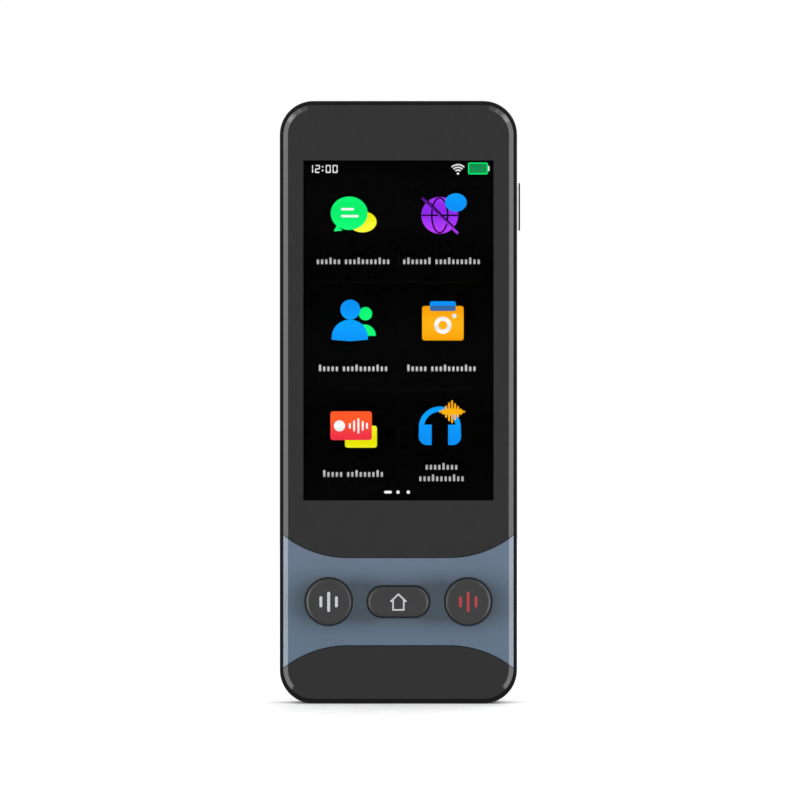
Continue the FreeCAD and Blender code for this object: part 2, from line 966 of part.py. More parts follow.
def make_front_buttons():
    kinds = (
        ("left_talk", talk_outline, voice_symbol, -mm.talk_offset),
        ("home", home_outline, house_symbol, as_size(0)),
        ("right_talk", talk_outline, voice_symbol, mm.talk_offset),
    )
    for label, outline, symbol, across in kinds:
        make_button(label, outline, symbol, across)
        make_switch(label, across)


def make_key_board():
    board = Piece("key_board")
    board.block(key_well_outline(mm.board_gap), key_board_front, key_floor_front)
    half = mm.key_flex_width / 2 + mm.board_gap
    low = key_well_low
    board.cut(plain_box(-half, half, low, low + mm.key_notch), key_board_front, key_floor_front)
    thick = mm.flex_depth
    front = key_board_front - thick
    fold = low + mm.key_notch - mm.board_gap
    corners = (
        (front, fold + mm.flex_lap),
        (key_board_front, fold + mm.flex_lap),
        (key_board_front, fold),
        (usb_board_front, fold),
        (usb_board_front, mm.usb_board_high - mm.flex_lap),
        (usb_board_front - thick, mm.usb_board_high - mm.flex_lap),
        (usb_board_front - thick, fold - thick),
        (front, fold - thick),
    )
    half = mm.key_flex_width / 2
    flex = Piece("key_flex")
    flex.block(side_profile(*corners), -half, half, "side")


# Frame


def clip_outline(height, grow):
    """A clip seen from the side, drawn larger by a clearance."""
    grow = as_size(grow)
    wide = mm.clip_depth + 2 * grow
    middle = tongue_front + mm.clip_inset + mm.clip_depth / 2 - half_depth
    return centred_box(wide, mm.clip_length + 2 * grow, middle, height)


def make_mid_frame():
    frame = Piece("mid_frame")
    frame.block(body_outline(), mm.lip_drop, frame_back)
    frame.round_edges(mm.front_round, at_depth(mm.lip_drop))
    # Recess for the front pieces, with the wells for the display and the key board behind it
    frame.cut(skin_outline(-mm.skin_gap), mm.lip_drop, recess_back)
    frame.cut(module_outline(mm.module_gap), recess_back, plate_front)
    frame.cut(key_well_outline(), recess_back, key_floor_front)
    # Rear hollow: deeper behind the display, and deepest round the port
    frame.cut(body_outline(mm.frame_wall), key_floor_back, frame_back)
    upper = round_box(-inner_side, inner_side, rear_step, inner_top, mm.corner_radius - mm.frame_wall)
    frame.cut(upper, plate_back, key_floor_back)
    room = plain_box(-mm.usb_room_side, mm.usb_room_side, mm.frame_wall, mm.usb_room_high)
    frame.cut(room, mm.usb_room_front, key_floor_back)
    # Windows that the display flex and the key flex pass through
    half = mm.display_flex_width / 2 + mm.flex_window
    high = module_top + mm.fold_rise + mm.flex_window
    frame.cut(plain_box(-half, half, module_top - mm.module_border, high), recess_back, plate_back)
    half = mm.key_flex_width / 2 + mm.board_gap
    low = key_well_low + mm.flex_depth
    frame.cut(plain_box(-half, half, low, low + mm.key_notch), key_floor_front, key_floor_back)
    # Holes in the bottom, top and right walls
    port = pill(mm.port_width + 2 * mm.port_gap, mm.port_height + 2 * mm.port_gap, 0, port_y)
    frame.cut(port, 0, mm.frame_wall, "top")
    frame.cut(circle(mm.mic_hole / 2, mm.bottom_mic_across, port_y), 0, mm.frame_wall, "top")
    mic = circle(mm.mic_hole / 2, mm.top_mic_across, top_mic_y)
    frame.cut(mic, inner_top, mm.body_length, "top")
    power = pill(
        mm.power_length + 2 * mm.power_gap,
        mm.power_width + 2 * mm.power_gap,
        power_y,
        power_height,
        True,
    )
    frame.cut(power, inner_side, body_side, "side")
    for side, height in CLIPS:
        near, far = inner_side, inner_side + mm.clip_reach
        if side < 0:
            near, far = -far, -near
        frame.cut(clip_outline(height, mm.clip_gap), near, far, "side")
    # Bosses for the boards' screws and the wall that backs the power switch
    frame.block(circles(mm.boss_diameter / 2, BOARD_SCREWS), plate_back, main_board_front)
    frame.block(circles(mm.boss_diameter / 2, USB_SCREWS), key_floor_back, usb_board_front)
    bore = mm.screw_diameter / 2 + mm.screw_gap
    bottom = mm.screw_length - mm.main_board_depth + mm.screw_gap
    frame.cut(circles(bore, BOARD_SCREWS), main_board_front - bottom, main_board_front)
    bottom = mm.screw_length - mm.usb_board_depth + mm.screw_gap
    frame.cut(circles(bore, USB_SCREWS), usb_board_front - bottom, usb_board_front)
    low = power_height - mm.side_board_high / 2
    wall = plain_box(rest_wall_in, side_board_in, low, low + mm.side_board_high)
    frame.block(wall, plate_back, side_board_back)


# Power button


def make_power_button():
    button = Piece("power_button")
    place = (power_y, power_height)
    bar = pill(mm.power_length, mm.power_width, *place, True)
    outside = body_side + mm.power_proud
    button.block(bar, power_flange_out, outside, "side")
    outer = outside.value
    button.round_edges(mm.power_round, lambda p: abs(p.x - outer) < 1e-4)
    reach = 2 * mm.power_flange
    flange = centred_box(mm.power_width + reach, mm.power_length + reach, *place, mm.power_round)
    button.block(flange, power_flange_in, power_flange_out, "side")
    button.block(circle(mm.side_plunger / 2, *place), power_post_in, power_flange_in, "side")
    radius = mm.side_plunger / 2
    housing = Piece("power_switch")
    outline = centred_box(mm.side_switch_wide, mm.side_switch_high, *place)
    housing.block(outline, side_board_out, side_switch_out, "side")
    hole = circle(radius + mm.plunger_gap, *place)
    housing.cut(hole, side_switch_out - mm.plunger_room, side_switch_out, "side")
    plunger = Piece("power_plunger")
    plunger.block(circle(radius, *place), side_switch_out - mm.plunger_seat, power_post_in, "side")
    low = power_height - mm.side_board_high / 2
    board = Piece("side_key_board")
    sides = (plate_back - half_depth, side_board_back - half_depth, low, low + mm.side_board_high)
    board.block(plain_box(*sides), side_board_in, side_board_out, "side")


# Main board and what it carries


def make_main_board():
    board = Piece("main_board")
    bend = mm.corner_radius - mm.frame_wall - cover_room
    sides = (-main_board_side, main_board_right, main_board_low, main_board_top)
    board.block(round_box(*sides, bend), main_board_front, main_board_back)
    tail_left = main_board_right - 2 * bend
    tail = (tail_left, main_board_side, main_board_low, main_board_low + mm.main_tail_high)
    board.block(plain_box(*tail), main_board_front, main_board_back)
    room = mm.camera_side + 2 * mm.board_gap
    opening = centred_box(room, room, camera_across, camera_height)
    board.cut(opening, main_board_front, main_board_back)
    bore = mm.screw_diameter / 2 + mm.board_gap / 4
    board.cut(circles(bore, BOARD_SCREWS), main_board_front, main_board_back)


def make_chips():
    low = can_low + mm.chip_border
    left = can_left + mm.chip_border
    processor = Piece("processor")
    middle = (can_low + can_high) / 2
    half = mm.chip_side / 2
    sides = (left, left + mm.chip_side, middle - half, middle + half)
    processor.block(plain_box(*sides), main_board_back, main_board_back + mm.chip_depth)
    memory = Piece("memory_chip")
    right = can_right - mm.chip_border
    sides = (right - mm.memory_width, right, low, low + mm.chip_side)
    memory.block(plain_box(*sides), main_board_back, main_board_back + mm.memory_depth)
    can = Piece("shield_can")
    can_back = main_board_back + mm.can_depth
    sheet = mm.can_sheet
    can.block(round_box(can_left, can_right, can_low, can_high, 2 * sheet), main_board_back, can_back)
    inside = plain_box(can_left + sheet, can_right - sheet, can_low + sheet, can_high - sheet)
    can.cut(inside, main_board_back, can_back - sheet)


def make_screws():
    """Four screws through the main board and two through the USB board."""
    screws = Piece("board_screws")
    shank = mm.screw_diameter / 2
    head = mm.screw_head / 2
    for places, seat in ((BOARD_SCREWS, main_board_back), (USB_SCREWS, usb_board_back)):
        screws.block(circles(shank, places), seat - mm.screw_length, seat)
        screws.block(circles(head, places), seat, seat + mm.screw_head_depth)


# Camera and flash


def make_camera():
    place = (camera_across, camera_height)
    module = Piece("camera_module")
    base = centred_box(mm.camera_side, mm.camera_side, *place, mm.ring_round)
    module.block(base, plate_back, camera_back)
    module.block(circle(mm.barrel_diameter / 2, *place), camera_back, barrel_back)
    pocket = barrel_back - mm.lens_sink - mm.lens_depth
    module.cut(circle(mm.lens_diameter / 2 + mm.plunger_gap, *place), pocket, barrel_back)
    lens = Piece("camera_lens")
    lens.block(circle(mm.lens_diameter / 2, *place), pocket, pocket + mm.lens_depth)
    lens.round_edges(mm.lens_depth / 2, at_depth(pocket + mm.lens_depth))
    ring = Piece("camera_ring")
    ring.block(circle(mm.ring_diameter / 2, *place), ring_front, ring_back)
    ring.round_edges(mm.ring_round, at_depth(ring_back))
    ring.cut(circle(mm.window_diameter / 2 + mm.ring_gap, *place), window_front, ring_back)
    ring.cut(circle(mm.sight_diameter / 2, *place), ring_front, window_front)
    window = Piece("camera_window")
    window.block(circle(mm.window_diameter / 2, *place), window_front, window_front + mm.window_depth)


def make_flash():
    place = (camera_across, flash_height)
    led = Piece("flash_led")
    led_back = main_board_back + mm.led_depth
    led.block(centred_box(mm.led_side, mm.led_side, *place), main_board_back, led_back)
    pipe = Piece("flash_lens")
    pipe.block(circle(mm.flash_stem / 2, *place), led_back + mm.led_gap, ring_front)
    pipe.block(circle(mm.flash_diameter / 2, *place), ring_front, mm.body_depth)


# Battery and flexes


def make_battery():
    battery = Piece("battery")
    sides = (-battery_side, battery_side, battery_low, battery_high)
    battery.block(round_box(*sides, mm.battery_round), battery_front, battery_back)
    tape = Piece("battery_tape")
    side = battery_side - mm.battery_border
    low = battery_low + mm.battery_border
    high = battery_high - mm.battery_border
    tape.block(plain_box(-side, side, low, high), plate_back, battery_front)
    lead = Piece("battery_lead")
    sides = (-mm.lead_width, as_size(0), battery_high, main_board_low + mm.lead_lap)
    lead.block(plain_box(*sides), main_board_front - mm.flex_depth, main_board_front)


def make_main_flex():
    """Runs beside the battery from the main board down to the USB board, where it ends in a plug."""
    flex = Piece("main_flex")
    right = inner_side - mm.main_flex_inset
    left = right - mm.main_flex_width
    high = main_board_low + mm.main_flex_lap
    back = main_board_front
    flex.block(plain_box(left, right, mm.plug_low, high), back - mm.flex_depth, back)
    flex.block(plain_box(left, right, mm.plug_low, mm.plug_high), back, usb_board_front)


# Bottom end


def make_usb():
    board = Piece("usb_board")
    side = usb_board_side
    low = mm.frame_wall + mm.board_gap
    outline = round_box(-side, side, low, mm.usb_board_high, mm.usb_board_round)
    board.block(outline, usb_board_front, usb_board_back)
    bore = mm.screw_diameter / 2 + mm.board_gap / 4
    board.cut(circles(bore, USB_SCREWS), usb_board_front, usb_board_back)
    shell = Piece("usb_shell")
    mouth = mm.port_sink
    back = mouth + mm.port_length
    shell.block(pill(mm.port_width, mm.port_height, 0, port_y), mouth, back, "top")
    inside = pill(mm.port_width - 2 * mm.port_wall, mm.port_height - 2 * mm.port_wall, 0, port_y)
    shell.cut(inside, mouth, back - mm.port_back, "top")
    tongue = Piece("usb_tongue")
    start = mouth + mm.tongue_sink
    end = back - mm.port_back
    fit = 2 * (mm.port_wall + mm.tongue_fit)
    base = pill(mm.port_width - fit, mm.port_height - fit, 0, port_y)
    tongue.block(base, end - mm.tongue_base, end, "top")
    blade = centred_box(mm.tongue_width, mm.tongue_thick, as_size(0), port_y)
    tongue.block(blade, start, end - mm.tongue_base, "top")


def make_microphones():
    """One at each end, each with a rubber seal between it and the hole in the end wall."""
    top = Piece("top_microphone")
    across = mm.top_mic_across
    half = mm.mic_width / 2
    seal_end = inner_top - mm.mic_seal
    sides = (across - half, across + half, seal_end - mm.mic_high, seal_end)
    top.block(plain_box(*sides), main_board_back, top_mic_back)
    seal = Piece("top_mic_seal")
    sides = (across - half, across + half, seal_end, inner_top)
    seal.block(plain_box(*sides), main_board_back, top_mic_back)
    seal.cut(circle(mm.mic_bore / 2, across, top_mic_y), seal_end, inner_top, "top")
    bottom = Piece("bottom_microphone")
    across = mm.bottom_mic_across
    low = mm.frame_wall + mm.mic_seal
    front = usb_board_front - mm.mic_tall
    sides = (across - half, across + half)
    bottom.block(plain_box(*sides, low, low + mm.mic_depth), front, usb_board_front)
    seal = Piece("bottom_mic_seal")
    seal.block(plain_box(*sides, mm.frame_wall, low), front, usb_board_front)
    seal.cut(circle(mm.mic_bore / 2, across, port_y), mm.frame_wall, low, "top")


# Speaker


def grille_places():
    columns = [
        (number - (GRILLE_COLUMNS - 1) / 2) * mm.grille_pitch for number in range(GRILLE_COLUMNS)
    ]
    rows = [
        mm.speaker_height + (number - (GRILLE_ROWS - 1) / 2) * mm.grille_pitch
        for number in range(GRILLE_ROWS)
    ]
    return [(across, height) for across in columns for height in rows]


def make_speaker():
    speaker = Piece("speaker")
    middle = (as_size(0), mm.speaker_height)
    body = centred_box(mm.speaker_width, mm.speaker_high, *middle, mm.speaker_round)
    speaker.block(body, key_floor_back, speaker_back)
    wide = (GRILLE_COLUMNS - 1) * mm.grille_pitch + mm.grille_hole + 2 * mm.grille_border
    high = (GRILLE_ROWS - 1) * mm.grille_pitch + mm.grille_hole + 2 * mm.grille_border
    wall = 2 * mm.seal_wall
    seal = Piece("speaker_seal")
    ring = together(
        centred_box(wide + wall, high + wall, *middle, mm.speaker_round),
        centred_box(wide, high, *middle),
    )
    seal.block(ring, speaker_back, mesh_front)
    mesh = Piece("speaker_mesh")
    mesh.block(centred_box(wide + wall, high + wall, *middle), mesh_front, cover_inside)


# Rear cover


def make_rear_cover():
    """A shallow shell whose tongue enters the frame and snaps in with clips."""
    cover = Piece("rear_cover")
    cover.block(body_outline(), frame_back, mm.body_depth)
    cover.round_edges(mm.rear_round, at_depth(mm.body_depth))
    cover.block(body_outline(tongue_inset), tongue_front, frame_back)
    cover.cut(body_outline(tongue_inset + mm.tongue_wall), tongue_front, cover_inside)
    outside = body_side - tongue_inset
    for side, height in CLIPS:
        near, far = outside, outside + mm.clip_reach
        if side < 0:
            near, far = -far, -near
        cover.block(clip_outline(height, 0), near, far, "side")
    room = mm.mic_width / 2 + mm.board_gap
    low = inner_top - cover_room
    notch = plain_box(mm.top_mic_across - room, mm.top_mic_across + room, low, inner_top)
    cover.cut(notch, main_board_back, top_mic_back + mm.board_gap)
    place = (camera_across, camera_height)
    cover.cut(circle(mm.ring_diameter / 2 + mm.ring_gap, *place), ring_front, mm.body_depth)
    cover.cut(circle(mm.window_diameter / 2, *place), cover_inside, ring_front)
    place = (camera_across, flash_height)
    cover.cut(circle(mm.flash_diameter / 2 + mm.ring_gap, *place), ring_front, mm.body_depth)
    cover.cut(circle(mm.flash_stem / 2 + mm.ring_gap, *place), cover_inside, ring_front)
    cover.cut(circles(mm.grille_hole / 2, grille_places()), cover_inside, mm.body_depth)


def make_antenna():
    antenna = Piece("antenna_flex")
    high = mm.body_length - mm.antenna_drop
    sides = (mm.antenna_left, mm.antenna_left + mm.antenna_width, high - mm.antenna_high, high)
    antenna.block(plain_box(*sides), cover_inside - mm.antenna_depth, cover_inside)


def check_and_write():
    """Refuses a failed feature or a bad shape, then writes one file for each piece."""
    document.recompute()
    for item in document.Objects:
        if "Invalid" in item.State or "Error" in item.State:
            raise RuntimeError(f"{item.Name} failed: {item.State}")
        if item.isDerivedFrom("Sketcher::SketchObject") and not item.FullyConstrained:
            raise RuntimeError(f"{item.Name} isn't fully sized")
    for body in pieces:
        if body.Shape.isNull() or not body.Shape.isValid() or not body.Shape.Solids:
            raise RuntimeError(f"{body.Label} has no sound shape")
    os.makedirs("parts", exist_ok=True)
    for body in pieces:
        body.Shape.exportStep(f"parts/{body.Label}.step")
    print(f"{len(pieces)} pieces written")


make_front_piece("cover_glass", (1,), as_size(0))
make_button_panel()
make_front_piece("chin_cover", (-1,), as_size(0))
make_tapes()
make_display()
make_display_flex()
make_front_buttons()
make_key_board()
make_mid_frame()
make_power_button()
make_main_board()
make_chips()
make_screws()
make_camera()
make_flash()
make_battery()
make_main_flex()
make_usb()
make_microphones()
make_speaker()
make_rear_cover()
make_antenna()
check_and_write()
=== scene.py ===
"""The looks of a handheld translator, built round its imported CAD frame."""
import math

import bmesh
import bpy
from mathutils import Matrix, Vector
from mathutils.geometry import tessellate_polygon


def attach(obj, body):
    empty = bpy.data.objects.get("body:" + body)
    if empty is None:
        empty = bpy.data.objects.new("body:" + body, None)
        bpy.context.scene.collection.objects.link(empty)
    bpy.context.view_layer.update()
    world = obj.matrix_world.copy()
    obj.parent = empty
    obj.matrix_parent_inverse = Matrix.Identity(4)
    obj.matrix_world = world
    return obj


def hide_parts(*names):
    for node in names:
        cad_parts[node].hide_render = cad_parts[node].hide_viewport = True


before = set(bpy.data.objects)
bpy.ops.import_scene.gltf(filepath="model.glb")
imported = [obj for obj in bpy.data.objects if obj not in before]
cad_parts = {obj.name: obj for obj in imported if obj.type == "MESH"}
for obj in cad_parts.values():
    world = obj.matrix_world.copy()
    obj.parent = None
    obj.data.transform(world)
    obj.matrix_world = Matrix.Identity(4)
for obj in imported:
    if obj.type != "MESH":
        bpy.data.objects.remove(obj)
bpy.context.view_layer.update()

# Sizes in millimetres, in the CAD part's frame. Depth is measured from the front of the glass.
MM = 0.001
FRONT = -6.5
SKIN_SIDE, SKIN_LOW, SKIN_TOP, SKIN_ROUND, SKIN_DEPTH = 30.10, 1.27, 156.40, 7.90, 1.1
BEVEL_WIDTH, BEVEL_DROP, BEVEL_ROUND, RIM_ROUND = 1.3, 0.45, 0.8, 0.06
SEAM_STRAIGHT, SEAM_BEND, SEAM_GAP, SEAM_ROUND = 13.2, 27.0, 0.15, 0.1
UPPER_SEAM, LOWER_SEAM = (38.2, 1), (15.2, -1)
PANEL_FRONT, COLLAR_WALL, COLLAR_DEPTH, HOLE_ROUND = 0.2, 0.9, 1.9, 0.35
VIEW_SIDE, VIEW_LOW, VIEW_TOP, VIEW_ROUND = 24.85, 53.1, 141.9, 0.25
BUTTON_HEIGHT, TALK_ACROSS, TALK_RADIUS = 26.7, 18.2, 5.95
HOME_LENGTH, HOME_WIDTH, BUTTON_GAP = 15.9, 7.7, 0.3
CAP_FRONT, CAP_ROUND, CAP_SLOPE, CAP_DROP = -0.7, 0.3, 0.62, 0.17
FLANGE_FRONT, FLANGE_BACK, FLANGE_REACH = 1.95, 2.55, 0.9
POST_BACK, POST_RADIUS = 2.95, 1.8
LEGEND_DEPTH, LEGEND_GAP = 0.3, 0.03
CAP_SETBACK, CAP_EASE, CAP_EASE_DROP = 0.08, 0.06, 0.02  # the soft line where a cap's face meets its slope
LAND = 0.05  # a flat margin round each flat face, so that its shading stays flat
CAMERA_X, CAMERA_Z, FLASH_Z = 14.5, 141.0, 129.5
POWER_HEIGHT, POWER_ACROSS, POWER_LENGTH, POWER_WIDTH = 130.05, 0.3, 12.5, 2.4
POWER_FLANGE, POWER_BACK, POWER_POST = 29.35, 28.65, 28.05
POWER_COLLAR, POWER_FACE, POWER_ROUND = 31.5, 31.9, 0.06
POWER_REACH, POWER_POST_WIDTH = 0.5, 1.4
SCREEN_SIDE, SCREEN_LOW, SCREEN_TOP, SCREEN_ROUND = 25.65, 52.3, 142.7, 0.5
SCREEN_FRONT, SCREEN_BACK, PICTURE_LAYER = 1.2, 1.3, 0.02
BAR_PITCH, BAR_WIDTH, SHORT_BAR, LONG_BAR = 2.03, 0.75, 2.9, 5.25

# How finely curves are cut, in straight steps
BOX_STEPS, CORNER_STEPS, SEAM_STEPS, EDGE_STEPS = 10, 28, 24, 8
SEAM_TRIES = 40  # a seam's end settles on the corner's arc in fewer steps than this
SHARP_ANGLE = 32  # in degrees; an edge that turns more than this stays crisp
WELD, SLIVER = 1e-7, 1e-8  # in metres; points this near are one, and edges this short are dropped


def place(x, z, depth):
    """A point of the part, from millimetres to the frame's metres."""
    return Vector((x * MM, (FRONT + depth) * MM, z * MM))


# Outlines, anticlockwise as seen from the front


def arc(x, z, radius, start, end, steps):
    """Points along an arc, both ends included."""
    turns = (math.radians(start + (end - start) * k / steps) for k in range(steps + 1))
    return [(x + radius * math.cos(t), z + radius * math.sin(t)) for t in turns]


def circle(x, z, radius, steps=96):
    return arc(x, z, radius, 0, 360, steps)[:-1]


def ellipse(x, z, wide, high, steps=48):
    return [(x + wide * px, z + high * pz) for px, pz in circle(0, 0, 1, steps)]


def round_box(left, right, low, top, radius):
    corners = (
        (left + radius, low + radius, 180),
        (right - radius, low + radius, 270),
        (right - radius, top - radius, 0),
        (left + radius, top - radius, 90),
    )
    return [p for x, z, start in corners for p in arc(x, z, radius, start, start + 90, BOX_STEPS)]


def pill(x, z, length, width, upright=False, steps=40):
    """A slot shape: two half circles joined by straight sides."""
    radius, reach = width / 2, (length - width) / 2
    if upright:
        return arc(x, z - reach, radius, 180, 360, steps) + arc(x, z + reach, radius, 0, 180, steps)
    return arc(x - reach, z, radius, 90, 270, steps) + arc(x + reach, z, radius, -90, 90, steps)


def seam_line(seam, shift, reach):
    """The line between two front pieces, left to right: straight in the middle, with long round ends."""
    height, turn = seam
    bend = SEAM_BEND - turn * shift
    spread = math.asin((reach - SEAM_STRAIGHT) / bend)
    half = []
    for k in range(SEAM_STEPS + 1):
        angle = spread * k / SEAM_STEPS
        rise = turn * (SEAM_BEND - bend * math.cos(angle))
        half.append((SEAM_STRAIGHT + bend * math.sin(angle), height + rise))
    return [(-x, z) for x, z in reversed(half)] + half


def corner_pair(inset, low, leave):
    """The two rounded corners at one end of the body; leave is the angle that a seam takes off each."""
    x, radius = SKIN_SIDE - SKIN_ROUND, SKIN_ROUND - inset
    if low:
        z, corners = SKIN_LOW + SKIN_ROUND, ((-x, 180 + leave, 270), (x, 270, 360 - leave))
    else:
        z, corners = SKIN_TOP - SKIN_ROUND, ((x, 0, 90), (-x, 90, 180))
    return [p for at, start, end in corners for p in arc(at, z, radius, start, end, CORNER_STEPS)]


def front_outline(low_seam, high_seam, inset, seam_inset):
    """One outline of a front piece, drawn in from its rim and from its seams."""
    shift = SEAM_GAP / 2 + seam_inset
    reach, leave = SKIN_SIDE - inset, 0
    if low_seam:
        bottom = seam_line(low_seam, shift, reach)
    else:
        # The seam can meet the corner's arc below the straight side, so its end is stepped to the arc.
        middle, radius = SKIN_SIDE - SKIN_ROUND, SKIN_ROUND - inset
        for _ in range(SEAM_TRIES):
            drop = SKIN_LOW + SKIN_ROUND - seam_line(high_seam, -shift, reach)[-1][1]
            if drop > 0:
                reach = middle + math.sqrt(radius * radius - drop * drop)
                leave = math.degrees(math.asin(drop / radius))
        bottom = corner_pair(inset, True, leave)
    if high_seam:
        return bottom + seam_line(high_seam, -shift, reach)[::-1]
    return bottom + corner_pair(inset, False, 0)


def talk_outline(x):
    return lambda grow: circle(x, BUTTON_HEIGHT, TALK_RADIUS + grow)


def home_outline(grow):
    return pill(0, BUTTON_HEIGHT, HOME_LENGTH + 2 * grow, HOME_WIDTH + 2 * grow)


def voice_bars(x):
    """The talk buttons' symbol: three upright bars, the middle one longer."""
    rows = ((-BAR_PITCH, SHORT_BAR), (0, LONG_BAR), (BAR_PITCH, SHORT_BAR))
    return lambda grow: [
        pill(x + across, BUTTON_HEIGHT, length + 2 * grow, BAR_WIDTH + 2 * grow, True, 12)
        for across, length in rows
    ]


def house_lines(grow):
    """The home button's symbol, as the outer and inner edge of one line."""
    eave, wall = 2.2 + grow, 1.6 + grow
    rise = 1.4 * grow  # the roof slopes, so its point moves further than its sides
    half = [
        (0, 2.25 + rise),
        (eave, 0.2 + grow),
        (eave - 0.133, -0.05 - grow),
        (wall, -0.05 - grow),
        (wall, -2.3 - grow),
    ]
    outer = [*reversed(half), *((-x, z) for x, z in half[1:])]
    room = 1.2 - grow
    side = [(0, 1.69 - rise), (room, 0.52 - grow), (room, -1.9 + grow)]
    inner = [*reversed(side), *((-x, z) for x, z in side[1:])]
    return [[(x, z + BUTTON_HEIGHT) for x, z in line] for line in (outer, inner)]


# Building a piece


class Shape:
    """A piece while it is being built, drawn from the front, or from the side with its depth along x."""

    def __init__(self, from_side=False):
        self.mesh = bmesh.new()
        self.from_side = from_side

    def ring(self, outline, depth):
        if self.from_side:
            return [self.mesh.verts.new((depth * MM, y * MM, z * MM)) for y, z in outline]
        return [self.mesh.verts.new(place(x, z, depth)) for x, z in outline]

    def wall(self, *rings, finish=0):
        """Quads from each ring to the next."""
        for near, far in zip(rings, rings[1:]):
            for k in range(len(near)):
                n = (k + 1) % len(near)
                self.mesh.faces.new((near[k], near[n], far[n], far[k])).material_index = finish

    def lid(self, *rings, finish=0):
        """A flat face over the first ring, with the other rings as its holes."""
        points = [v for ring in rings for v in ring]
        across = 1 if self.from_side else 0
        flat = [[Vector((v.co[across], v.co.z, 0)) for v in ring] for ring in rings]
        for corners in tessellate_polygon(flat):
            self.mesh.faces.new([points[k] for k in corners]).material_index = finish

    def plate(self, front, back, *outlines, finish=0):
        """A closed flat plate with the given outline and holes."""
        near = [self.ring(o, front) for o in outlines]
        far = [self.ring(o, back) for o in outlines]
        self.lid(*near, finish=finish)
        self.lid(*far, finish=finish)
        for pair in zip(near, far):
            self.wall(*pair, finish=finish)

    def done(self, name, body, slot, looks, node):
        """Ends the piece: clean faces, smooth shading up to its sharp edges, its finish and its place."""
        bmesh.ops.remove_doubles(self.mesh, verts=self.mesh.verts, dist=WELD)
        bmesh.ops.dissolve_degenerate(self.mesh, edges=self.mesh.edges, dist=SLIVER)
        bmesh.ops.recalc_face_normals(self.mesh, faces=self.mesh.faces)
        data = bpy.data.meshes.new(name)
        self.mesh.to_mesh(data)
        self.mesh.free()
        for finish in looks:
            data.materials.append(finish)
        data.shade_smooth()
        data.set_sharp_from_angle(angle=math.radians(SHARP_ANGLE))
        piece = bpy.data.objects.new(name, data)
        bpy.context.scene.collection.objects.link(piece)
        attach(piece, body)
        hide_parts(node)


# Finishes

# The sockets of a Mix node that mixes colours
AMOUNT, FIRST, SECOND, MIXED = 0, 6, 7, 2
# Clouds this many times wider than the grain vary a finish's tone as well, by this share of the grain's
CLOUD_SIZE, CLOUD_SHARE = 14, 0.35
# How far the band's painted shade reaches from a button, and the heights between which it fades, in mm
PAINTED_SHADE_REACH, PAINTED_SHADE_NEAR, PAINTED_SHADE_FAR = 9, 3, 9


def tone(code):
    """An sRGB hex colour as linear light, opaque."""
    parts = [int(code[k : k + 2], 16) / 255 for k in (1, 3, 5)]
    return (*((c / 12.92 if c < 0.04045 else ((c + 0.055) / 1.055) ** 2.4) for c in parts), 1)


def add(finish, kind, links=None, **settings):
    """Adds one node to a finish, with its settings and what its sockets take."""
    tree = finish.node_tree
    node = tree.nodes.new(kind)
    for name, value in settings.items():
        setattr(node, name, value)
    for socket, value in (links or {}).items():
        if isinstance(value, bpy.types.NodeSocket):
            tree.links.new(value, node.inputs[socket])
        else:
            node.inputs[socket].default_value = value
    return node


def new_finish(name):
    finish = bpy.data.materials.new(name)
    finish.use_nodes = True
    finish.node_tree.nodes.clear()
    return finish


def end_finish(finish, sockets):
    """The shader and the output of a finish."""
    shader = add(finish, "ShaderNodeBsdfPrincipled", sockets)
    add(finish, "ShaderNodeOutputMaterial", {"Surface": shader.outputs[0]})
    return finish


def grain(finish, size, detail=2.0, stretch=(1, 1, 1)):
    """Even random grain of a real size in millimetres, 0 to 1."""
    where = add(finish, "ShaderNodeTexCoord").outputs["Object"]
    scaled = add(finish, "ShaderNodeMapping", {"Vector": where, "Scale": stretch}).outputs[0]
    links = {"Vector": scaled, "Scale": 1 / (size * MM), "Detail": detail}
    return add(finish, "ShaderNodeTexNoise", links).outputs["Fac"]


def grained(name, dark, light, size, rough, lift, stretch=(1, 1, 1), **sockets):
    """A finish whose colour, roughness and relief follow one grain: two tones, grain size in mm,
    roughness range, relief in mm, and the shader's own constants."""
    finish = new_finish(name)
    fac = grain(finish, size, stretch=stretch)
    cloud = grain(finish, size * CLOUD_SIZE, stretch=stretch)
    share = {0: cloud, 1: CLOUD_SHARE, 2: fac}
    both = add(finish, "ShaderNodeMath", share, operation="MULTIPLY_ADD").outputs[0]
    amount = add(finish, "ShaderNodeMapRange", {"Value": both, "From Min": 0.5, "From Max": 0.85}).outputs[0]
    tones = {AMOUNT: amount, FIRST: tone(dark), SECOND: tone(light)}
    gloss = {"Value": fac, "From Min": 0.3, "From Max": 0.7, "To Min": rough[0], "To Max": rough[1]}
    bump = add(finish, "ShaderNodeBump", {"Height": fac, "Distance": lift * MM, "Strength": 0.6})
    links = {
        "Base Color": add(finish, "ShaderNodeMix", tones, data_type="RGBA").outputs[MIXED],
        "Roughness": add(finish, "ShaderNodeMapRange", gloss).outputs[0],
        "Normal": bump.outputs[0],
    }
    links.update({socket.replace("_", " "): value for socket, value in sockets.items()})
    return end_finish(finish, links)


